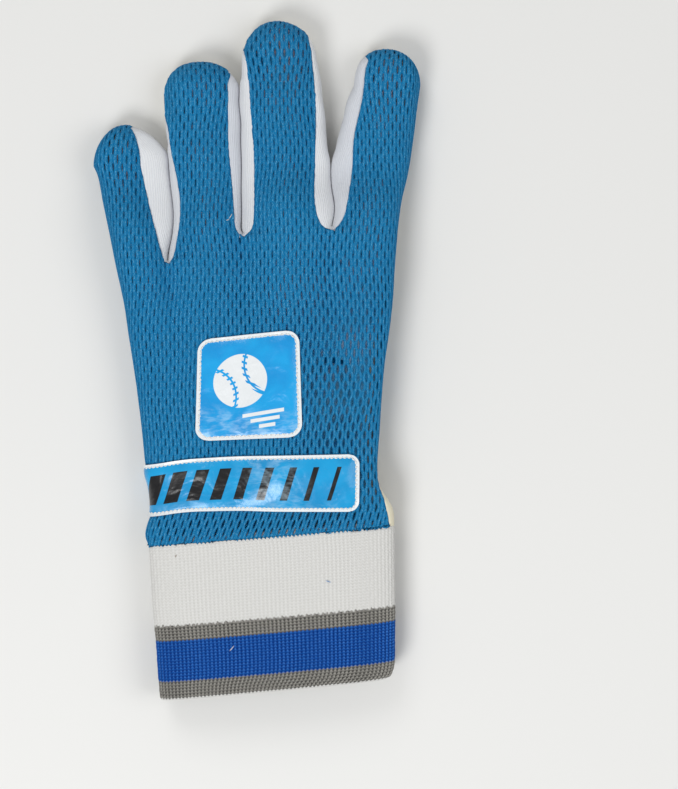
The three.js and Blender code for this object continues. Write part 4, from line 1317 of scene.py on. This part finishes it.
# Places round the cuff at even distances: the fraction across it and whether that is on top.
def cuffColumns():
    turn = np.linspace(0, math.pi, 400)
    fraction = (1 - np.cos(turn)) / 2
    y = cuff["middle"] + 0 * fraction
    left, right = readRows(outline, "left", y), readRows(outline, "right", y)
    x = blend(left, right, fraction)
    top = np.stack([x, skinZ(x, y, True)], axis=1)
    bottom = np.stack([x, skinZ(x, y, False)], axis=1)[::-1]
    loop = np.concatenate([top, bottom[1:]])
    around = np.concatenate([fraction, 2 - fraction[::-1][1:]])
    run = runAlong(loop)
    count = cuff["ribs"] * cuff["perRib"]
    places = np.interp(np.arange(count) / count * run[-1], run, around)
    return np.where(places <= 1, places, 2 - places), places <= 1, run[-1]


def buildCuff():
    fraction, isTop, girth = cuffColumns()
    count = len(fraction)
    length = cuff["length"]
    phase = 2 * math.pi * np.arange(count) / cuff["perRib"]

    def ring(down, outward):
        y = blend(*blend(np.array(cuffEnds["seam"]), np.array(cuffEnds["open"]), down / length), fraction)
        x = blend(readRows(outline, "left", y), readRows(outline, "right", y), fraction)
        z = np.where(isTop, skinZ(x, y, True), skinZ(x, y, False))
        points = np.stack([x, y, z], axis=1)
        way = np.roll(points, -1, axis=0) - np.roll(points, 1, axis=0)
        normal = unit(np.stack([-way[:, 2], 0 * way[:, 0], way[:, 0]], axis=1))
        return points + normal * np.asarray(outward).reshape(-1, 1)

    rings, downs = [], []
    for k in range(cuff["rows"] + 1):
        down = blend(-cuff["under"], length - cuff["lip"], k / cuff["rows"])
        isStripe = smooth(np.array(down), cuffLook["greyFrom"] - 1, cuffLook["greyFrom"] + 1)
        rib = cuff["rib"] * blend(cuff["flatRib"], 1.0, isStripe) * np.cos(phase)
        weave = cuff["weave"] * np.sin(2 * math.pi * down / cuff["weaveStep"] + 1.6 * np.cos(phase))
        soft = cuff["fuzz"] * np.sin(phase * 0.37 + down * 1.9) * np.cos(phase * 0.113 - down * 0.8)
        tuckIn = -cuff["tuck"] * (1 - smooth(np.array(down), -cuff["under"], 0.8))
        rings.append(ring(down, rib + weave + soft + tuckIn))
        downs.append(down)
    for k in range(1, cuff["lipSteps"] + 1):
        turn = math.pi * k / cuff["lipSteps"]
        down = length - cuff["lip"] + cuff["lip"] * math.sin(turn)
        outward = -cuff["thick"] / 2 * (1 - math.cos(turn)) + cuff["rib"] * np.cos(phase) * math.cos(turn / 2)
        rings.append(ring(down, outward))
        downs.append(down + 0.001)
    for down in (*cuff["innerRows"], -cuff["under"]):
        rings.append(ring(down, -cuff["thick"] + 0 * phase))
        downs.append(down)
    points = np.stack(rings)
    rows = len(rings)
    faces = gridFaces(rows, count, isLoop=True)
    last = (rows - 1) * count
    for j in range(count):
        k = (j + 1) % count
        faces.append((last + j, last + k, k, j))
    uv = np.zeros((rows, count, 2))
    uv[:, :, 0] = np.arange(count)[None, :] * girth / count
    uv[:, :, 1] = np.array(downs)[:, None]
    obj = makeObject("cuff_knit", points.reshape(-1, 3), faces, uv.reshape(-1, 2))
    pointOutwards(obj)
    shadeSmooth(obj)
    return obj


finishPiece(buildCuff(), ["ribbed_cuff"], finishes["cuff"])

print("stage: thumb")


# A plan point in the thumb's own frame, along it and across it.
def onThumb(along, across):
    x = thumb["base"][0] + thumbAxis[0] * along + thumbAxis[1] * across
    y = thumb["base"][1] + thumbAxis[1] * along - thumbAxis[0] * across
    return x, y


# One ring of the thumb: the parts 0 to 1 run under it from its inner to its outer side and 1 to 2 over it.
def thumbRing(along, parts):
    s = along / thumbLength
    half = np.interp(s, [0, 0.5, 1], [thumb["halfBase"], thumb["halfMiddle"], thumb["halfTip"]])
    half = half * dome(along, thumb["roundBase"]) * dome(thumbLength - along, thumb["roundTip"], 2.2)
    closed = smooth(s, thumb["openUntil"], thumb["closedFrom"])
    tipFlat = dome(thumbLength - along, thumb["tipFlat"])
    baseFlat = dome(along, thumb["baseFlat"])
    full = thumb["height"] * blend(thumb["tipShare"], 1, tipFlat)
    turn = math.pi * parts
    swing = np.sign(np.cos(turn)) * np.abs(np.cos(turn)) ** thumb["square"]
    x, y = onThumb(along, -half * swing)
    hang = skinZ(x, y, False) - thumb["gap"]
    rim = blend(hang, blend(4, thumb["height"] / 2, tipFlat), closed)
    bulge = np.abs(np.sin(turn)) ** thumb["square"]
    low = rim * (1 - bulge * tipFlat * baseFlat)
    high = blend(rim, np.maximum(full, rim), bulge * tipFlat)
    z = np.where(parts <= 1, low, high)
    crease = 0.3 * np.sin(along / 4.6 + parts * 5.0) * bulge * (parts <= 1)
    return np.stack([x, y, np.maximum(z + np.maximum(crease, -z * 0.5) * 0.6, 0.02)], axis=1)


def buildThumbSheet(name, fromPart, toPart, fromAlong):
    share = np.linspace(0, 1, thumb["rows"])
    alongs = fromAlong + (thumbLength - fromAlong) * np.sin(share * math.pi / 2) ** 1.1
    if fromAlong == 0:
        alongs = thumbLength * (1 - np.cos(share * math.pi)) / 2
    parts = np.linspace(fromPart, toPart, thumb["columns"])
    points = np.stack([thumbRing(float(a), parts) for a in alongs])
    girth = (parts - fromPart) * thumb["halfGirth"]
    uv = np.stack(np.meshgrid(girth, alongs), axis=2)
    faces = gridFaces(len(alongs), len(parts), isFlipped=True)
    obj = makeObject(name, points.reshape(-1, 3), faces, uv.reshape(-1, 2))
    weld(obj)
    thicken(obj, thumb["thick"])
    shadeSmooth(obj)
    return obj


thumbPieces = {
    "thumb_front_suede": (0.0, thumb["seam"], 0, "thumb_front", "palm_suede", "thumbSuede"),
    "thumb_side_mesh": (thumb["seam"], 1.0, 0, "thumb_back", "mesh_back", "solidMesh"),
    "thumb_back_mesh": (1.0, 2.0, thumb["openUntil"] * thumbLength, "thumb_back", "mesh_back", "solidMesh"),
}
for name, (fromPart, toPart, fromAlong, node, slot, look) in thumbPieces.items():
    piece = buildThumbSheet(name, fromPart, toPart, fromAlong)
    finishPiece(piece, [node], finishes[look], finishes["inside"])

print("stage: badges")
# The square patch's corners as the cloth has pulled them, and the bar's droop at the wrapped end.
squareBadge = {
    "width": 40.0, "height": 41.0, "corner": 5.2, "cells": 64, "stitchIn": 1.35,
    "topLeft": (-21.9, 7.1), "topRight": (16.6, 10.8), "lowRight": (17.9, -29.7), "lowLeft": (-22.9, -31.5),
}
barBadge = {
    "end": 39.2, "short": 2.2, "height": 21.4, "corner": 4.0, "cells": 120, "rows": 36, "stitchIn": 1.3,
    "sewn": 82.0,
}
# The bar's upper and lower edge along the hand, read from right to left.
barEdges = {
    "s": [-60, -40, -28, -8, 32, 40], "top": [-41.3, -40.7, -38.4, -37.2, -36.4, -36.2],
    "low": [-61.4, -60.9, -58.4, -57.8, -58.0, -58.0],
}
badge = {"lift": 0.3, "thick": 0.8, "puff": 0.35, "wrinkle": 0.14, "seamFromEdge": 1.15}


def cornerInset(offset, halfHeight, corner):
    over = np.maximum(np.abs(offset) - (halfHeight - corner), 0)
    return corner - np.sqrt(np.maximum(corner * corner - over * over, 0))


# Height of a vinyl patch over the cloth: pressed down along its stitches and puffed out between them.
def vinylLift(a, b, fromEdge):
    puff = badge["puff"] * smooth(fromEdge, badge["seamFromEdge"], badge["seamFromEdge"] + 3.5)
    dip = -0.2 * np.exp(-((fromEdge - badge["seamFromEdge"]) / 0.55) ** 2)
    wrinkle = np.sin(a / 3.1 + 1.9 * np.sin(b / 5.3)) * np.sin(b / 4.3 + 0.8 * np.sin(a / 4.9))
    ripple = 0.5 * np.sin(a / 1.7 - b / 2.6) * np.exp(-((b + 12) / 6) ** 2)
    inside = smooth(fromEdge, 1.5, 4.0)
    return puff + dip + badge["wrinkle"] * (wrinkle + ripple) * inside


def squarePoint(a, b):
    u = (a / squareBadge["width"] + 0.5)[..., None]
    v = (b / squareBadge["height"] + 0.5)[..., None]
    corner = {key: np.array(squareBadge[key]) for key in ("lowLeft", "lowRight", "topLeft", "topRight")}
    low = blend(corner["lowLeft"], corner["lowRight"], u)
    place = blend(low, blend(corner["topLeft"], corner["topRight"], u), v)
    return onBack(place[..., 0], place[..., 1])


# Reads a table with its corners eased.
def softRead(keys, values, at):
    shifts = (-6.0, -3.0, 0.0, 3.0, 6.0)
    return sum(np.interp(at + shift, keys, values) for shift in shifts) / len(shifts)


# Places on the bar patch, which follows the cloth round the hand's edge at its left end.
def barPoint(a, b):
    s = (barBadge["end"] + a).ravel()
    share = b.ravel() / barBadge["height"] + 0.5
    top = softRead(barEdges["s"], barEdges["top"], s)
    low = softRead(barEdges["s"], barEdges["low"], s)
    y = blend(low, top, share)
    return onSkin(s, y, np.zeros(len(s), int), True).reshape(*a.shape, 3)


# Outward normals of the surface that pointOf makes, and its way along the direction (da, db).
def surfaceWays(pointOf, a, b, da, db):
    step = 0.25
    alongA = pointOf(a + step, b) - pointOf(a - step, b)
    alongB = pointOf(a, b + step) - pointOf(a, b - step)
    way = pointOf(a + da * step, b + db * step) - pointOf(a - da * step, b - db * step)
    return unit(np.cross(alongA, alongB)), unit(way)


# How far inside the edge of a patch with round corners a place is.
def edgeDistance(a, b, right, left, half, corner):
    overA = np.maximum(np.maximum(a - (right - corner), -a - (left - corner)), 0)
    overB = np.maximum(np.abs(b) - (half - corner), 0)
    inner = np.minimum(np.minimum(right - a, left + a), half - np.abs(b))
    return np.where((overA > 0) & (overB > 0), corner - np.hypot(overA, overB), inner)


def buildBadge(name, pointOf, places, size, left, right):
    a, b = places[:, :, 0], places[:, :, 1]
    fromEdge = edgeDistance(a, b, right, left, size["height"] / 2, size["corner"])
    normal, _ = surfaceWays(pointOf, a, b, 1.0, 0.0)
    lift = badge["lift"] + badge["thick"] + vinylLift(a, b, fromEdge)
    points = pointOf(a, b)
    outer = points + normal * lift[:, :, None]
    inner = points + normal * (lift - badge["thick"])[:, :, None]
    return closedSheet(name, outer, inner, places.reshape(-1, 2))


# Places across a patch, closer together towards both edges.
def edgeSpread(count, half):
    share = np.linspace(-1, 1, count + 1)
    return half * np.sign(share) * (1 - (1 - np.abs(share)) ** 1.15)


def squarePlaces():
    b = edgeSpread(squareBadge["cells"], squareBadge["height"] / 2)
    reach = squareBadge["width"] / 2 - cornerInset(b, squareBadge["height"] / 2, squareBadge["corner"])
    a = reach[:, None] * np.linspace(-1, 1, squareBadge["cells"] + 1)[None, :]
    return np.stack([a, b[:, None] + 0 * a], axis=2)


def barPlaces():
    b = edgeSpread(barBadge["rows"], barBadge["height"] / 2)
    rowY = blend(barEdges["low"][0], barEdges["top"][0], b / barBadge["height"] + 0.5)
    begin = pastTurn(True, 0 * rowY, rowY)
    reach = turnedPoints(True, rowY, np.zeros(len(b)), True)[2]
    left = begin - reach + barBadge["short"] - barBadge["end"]
    right = -cornerInset(b, barBadge["height"] / 2, barBadge["corner"])
    along = np.linspace(0, 1, barBadge["cells"] + 1)
    a = blend(left[:, None], right[:, None], along[None, :])
    return np.stack([a, b[:, None] + 0 * a], axis=2)


halfWidth = squareBadge["width"] / 2
squarePiece = buildBadge("square_badge_vinyl", squarePoint, squarePlaces(), squareBadge, halfWidth, halfWidth)
finishPiece(squarePiece, ["square_badge"], makeSquareVinyl(squareBadge))
barPiece = buildBadge("bar_badge_vinyl", barPoint, barPlaces(), barBadge, farOut, 0)
finishPiece(barPiece, ["bar_badge"], makeBarVinyl(barBadge))

print("stage: stitches")
stitch = {"sides": 6, "rings": 5}
onVinyl = badge["lift"] + badge["thick"] - 0.12
# Each seam's stitches: their pitch, length, radius, height over the surface, side of it and slant.
seams = {
    "square": (2.15, 1.6, 0.27, onVinyl, 1, 0.1),
    "bar": (1.62, 1.2, 0.26, onVinyl, 1, 0.1),
    "oval": (2.4, 1.8, 0.24, 0.05, -1, 0),
    "outerOval": (2.4, 1.7, 0.22, 0.05, -1, 0),
    "dart": (2.3, 1.7, 0.24, 0.05, -1, 0),
    "fingertip": (2.3, 1.7, 0.22, -0.12, -1, 0),
    "strap": (1.7, 1.3, 0.2, -0.12, -1, 0),
    "tack": (1.8, 0.7, 0.24, -0.12, -1, 0),
}


# Points at even distances along a plan line, with the direction there.
def spacedAlong(line, pitch):
    line = np.array(line, float)
    run = runAlong(line)
    at = np.arange(min(pitch, run[-1]) / 2, run[-1], pitch)

    def beside(shift):
        return np.stack([np.interp(at + shift, run, line[:, k]) for k in range(2)], axis=1)

    return beside(0), unit(beside(0.2) - beside(-0.2))


# A run of small rounded stitches along a plan line on a surface.
def sew(runs, pointOf, line, seam):
    pitch, length, radius, lift, side, lean = seam
    place, way = spacedAlong(line, pitch)
    a, b = place[:, 0], place[:, 1]
    turned = way + lean * np.stack([-way[:, 1], way[:, 0]], axis=1)
    normal, along = surfaceWays(pointOf, a, b, turned[:, 0], turned[:, 1])
    normal = normal * side
    centre = pointOf(a, b) + normal * lift
    runs.append((centre, along, np.cross(normal, along), normal, length, radius))


def threadPiece(name, runs, material):
    sides, rings = stitch["sides"], stitch["rings"]
    turn = 2 * math.pi * np.arange(sides) / sides
    points, faces = [], []
    for centre, along, across, normal, length, radius in runs:
        for c, t, u, n in zip(centre, along, across, normal):
            first = len(points) * sides
            for k in range(rings):
                at = 2 * k / (rings - 1) - 1
                wide = radius * math.sqrt(max(1 - 0.86 * at * at, 0.05))
                middle = c + t * (at * length / 2) + n * (radius * 0.55 * (1 - at * at) - radius * 0.35)
                points.append(middle + wide * (np.cos(turn)[:, None] * u + np.sin(turn)[:, None] * n))
            faces += [tuple(first + i for i in face) for face in gridFaces(rings, sides, isLoop=True)]
            last = first + (rings - 1) * sides
            faces.append(tuple(first + j for j in range(sides))[::-1])
            faces.append(tuple(last + j for j in range(sides)))
    obj = makeObject(name, np.concatenate(points), faces)
    shadeSmooth(obj)
    finishPiece(obj, [], material)


# The line that a patch's stitches follow inside its edge; an open one has no left side.
def patchLine(size, left, right, isOpen):
    half, corner, inset = size["height"] / 2, size["corner"], size["stitchIn"]
    turn = np.linspace(0, math.pi / 2, 9)
    bend = corner - inset
    line = []
    spots = [(right - corner, -half + corner, -90), (right - corner, half - corner, 0)]
    if not isOpen:
        spots += [(-left + corner, half - corner, 90), (-left + corner, -half + corner, 180)]
    for x, y, start in spots:
        angle = turn + math.radians(start)
        line += [(x + bend * math.cos(t), y + bend * math.sin(t)) for t in angle]
    if isOpen:
        line = [(-left, -half + inset)] + line + [(-left, half - inset)]
    else:
        line.append(line[0])
    return line


badgeRuns = []
sew(badgeRuns, squarePoint, patchLine(squareBadge, halfWidth, halfWidth, False), seams["square"])
sew(badgeRuns, barPoint, patchLine(barBadge, barBadge["sewn"], 0.0, True), seams["bar"])
threadPiece("badge_stitches", badgeRuns, finishes["whiteThread"])


# An oval or a part of one round the thumb's opening, grown outwards by a margin.
def ovalLine(margin, fromDegrees, toDegrees):
    turn = np.radians(np.linspace(fromDegrees, toDegrees, 80))
    along = palm["holeAlong"] + (palm["holeHalfLength"] + margin) * np.cos(turn)
    across = (palm["holeHalfWidth"] + margin) * np.sin(turn)
    x, y = onThumb(along, across)
    return np.stack([x, y], axis=1)


palmRuns = []
for name, oval in palm["ovals"].items():
    sew(palmRuns, onPalm, ovalLine(*oval), seams[name])
sew(palmRuns, onPalm, palm["dart"], seams["dart"])
for number in range(4):
    for offset in palm["tipStitches"]:
        y = tipSeamRun(number) + offset
        low, high = (float(fingerSide(number, side, np.array([y]))[1][0]) for side in ("left", "right"))
        line = [(low + palm["tipStitchEnd"], y), (high - palm["tipStitchEnd"], y)]
        sew(palmRuns, onPalm, line, seams["fingertip"])
threadPiece("palm_stitches", palmRuns, finishes["creamThread"])

# Loose fibres and flecks that the photograph shows, as places, lengths and directions in degrees.
lint = {
    "x": [-9.9, -10.9, 27.6, -30.4, -9.0],
    "y": [54.4, 52.9, -84.8, -75.2, -110.2],
    "length": [2.6, 1.5, 1.9, 1.1, 2.6],
    "degrees": [62, 20, -20, 75, 50],
    "thread": ["white", "white", "blue", "brown", "white"],
}
fibre = {"radius": 0.13, "lift": 0.32}
for tone in ("white", "blue", "brown"):
    lintRuns = []
    for x, y, length, degrees, thread in zip(*lint.values()):
        if thread != tone:
            continue
        turn = math.radians(degrees)
        way = np.array([math.cos(turn), math.sin(turn)]) * length / 2
        line = [(x - way[0], y - way[1]), (x + way[0], y + way[1])]
        sew(lintRuns, onBack, line, (length * 1.01 - 0.001, length, fibre["radius"], fibre["lift"], 1, 0))
    threadPiece(f"{tone}_lint", lintRuns, finishes[f"{tone}Thread"])

print("stage: strap")
strap = {
    "x": -2.4, "y": -111.4, "width": 68.0, "height": 29.0, "thick": 2.8, "tilt": 5.0, "corner": 5.5,
    "tabEnd": -15.2, "flapStart": -14.8, "rim": 3.0, "panelDepth": 0.35, "slope": 0.35,
    "edge": 0.45, "stitchIn": 2.3,
    "tackIn": 3.4, "tackY": (4.9, 10.3),
}


# A leather plate in the strap's frame, its seen side down, with a bound rim round a sunken panel.
def buildPlate(name, fromX, toX, isRoundLeft):
    deselectAll()
    bpy.ops.mesh.primitive_cube_add(size=1.0)
    obj = bpy.context.object
    obj.name = name
    obj.scale = ((toX - fromX) * mm, strap["height"] * mm, strap["thick"] * mm)
    obj.location = ((fromX + toX) / 2 * mm, 0, strap["thick"] / 2 * mm)
    bpy.ops.object.transform_apply(location=True, rotation=True, scale=True)
    bm = bmesh.new()
    bm.from_mesh(obj.data)
    endX = (fromX if isRoundLeft else toX) * mm
    upright = [e for e in bm.edges if all(abs(v.co.x - endX) < 1e-6 for v in e.verts)]
    upright = [e for e in upright if abs(e.verts[0].co.y - e.verts[1].co.y) < 1e-6]
    bmesh.ops.bevel(bm, geom=upright, offset=strap["corner"] * mm, segments=8, profile=0.5, affect="EDGES")
    seen = min(bm.faces, key=lambda f: f.calc_center_median().z)
    bmesh.ops.inset_region(bm, faces=[seen], thickness=strap["rim"] * mm, use_even_offset=True)
    bmesh.ops.inset_region(bm, faces=[seen], thickness=strap["slope"] * mm, depth=-strap["panelDepth"] * mm)
    seen.material_index = 1
    bm.to_mesh(obj.data)
    bm.free()
    applyModifier(obj, "BEVEL", width=strap["edge"] * mm, segments=3, limit_method="ANGLE")
    selectOnly(obj)
    obj.rotation_euler = (0, 0, math.radians(strap["tilt"]))
    obj.location = (strap["x"] * mm, strap["y"] * mm, 0)
    bpy.ops.object.transform_apply(location=True, rotation=True, scale=True)
    shadeSmooth(obj, 40)
    return obj


strapTab = buildPlate("strap_tab_leather", -strap["width"] / 2, strap["tabEnd"], True)
finishPiece(strapTab, ["strap_tab"], finishes["leather"], finishes["leatherPanel"])
strapFlap = buildPlate("strap_flap_leather", strap["flapStart"], strap["width"] / 2, False)
finishPiece(strapFlap, ["strap_flap"], finishes["leather"], finishes["leatherPanel"])


def strapPoint(a, b):
    turn = math.radians(strap["tilt"])
    x = strap["x"] + a * math.cos(turn) - b * math.sin(turn)
    y = strap["y"] + a * math.sin(turn) + b * math.cos(turn)
    return np.stack([x, y, 0.1 + 0 * x], axis=-1)


strapRuns = []
for inner, turned in ((-strap["flapStart"], 1), (-strap["tabEnd"], -1)):
    line = patchLine(strap, inner, strap["width"] / 2, True)
    line = [(turned * a, b) for a, b in line if turned == 1 or -a < strap["tabEnd"] - 1]
    sew(strapRuns, strapPoint, line, seams["strap"])
threadPiece("strap_stitches", strapRuns, finishes["blackThread"])
tackRuns = []
tackX = -strap["width"] / 2 + strap["tackIn"]
sew(tackRuns, strapPoint, [(tackX, y) for y in strap["tackY"]], seams["tack"])
threadPiece("strap_tack_stitches", tackRuns, finishes["whiteThread"])

print("stage: floor and lights")
studio = {"floor": 16.0, "floorPaint": paint(222, 222, 220), "floorShade": 0.97, "sky": 0.4}
# Each lamp's place, its size in metres and its power in watts.
lamps = {
    "key": ((-0.35, -0.6, 0.85), 0.45, 6.4),
    "fill": ((0.7, -0.1, 0.8), 0.7, 3.2),
    "top": ((-0.3, 0.7, 0.8), 0.6, 2.8),
}


def addFloor():
    deselectAll()
    bpy.ops.mesh.primitive_plane_add(size=studio["floor"], location=(0, 0, -0.0002))
    floor = bpy.context.object
    floor.name = "floor"
    finish = Finish("floor_paper", Roughness=0.9)
    tone = finish.noise(finish.objectPlace(), 4.0, 2.0)
    shade = shaded(studio["floorPaint"], studio["floorShade"])
    finish.feed(Base_Color=finish.mixPaint(tone, shade, studio["floorPaint"]))
    floor.data.materials.append(finish.material)


# A round lamp that points at the glove's middle.
def addLight(name, place, size, power):
    data = bpy.data.lights.new(name, "AREA")
    data.shape = "DISK"
    data.size = size
    data.energy = power
    light = bpy.data.objects.new(name, data)
    bpy.context.scene.collection.objects.link(light)
    light.location = place
    light.rotation_euler = (-Vector(place)).to_track_quat("-Z", "Y").to_euler()


def addSky():
    world = bpy.data.worlds.new("sky")
    bpy.context.scene.world = world
    world.use_nodes = True
    back = world.node_tree.nodes["Background"]
    back.inputs["Color"].default_value = (1.0, 1.0, 1.0, 1.0)
    back.inputs["Strength"].default_value = studio["sky"]


addFloor()
addSky()
for name, lamp in lamps.items():
    addLight(name, *lamp)

print("stage: done")
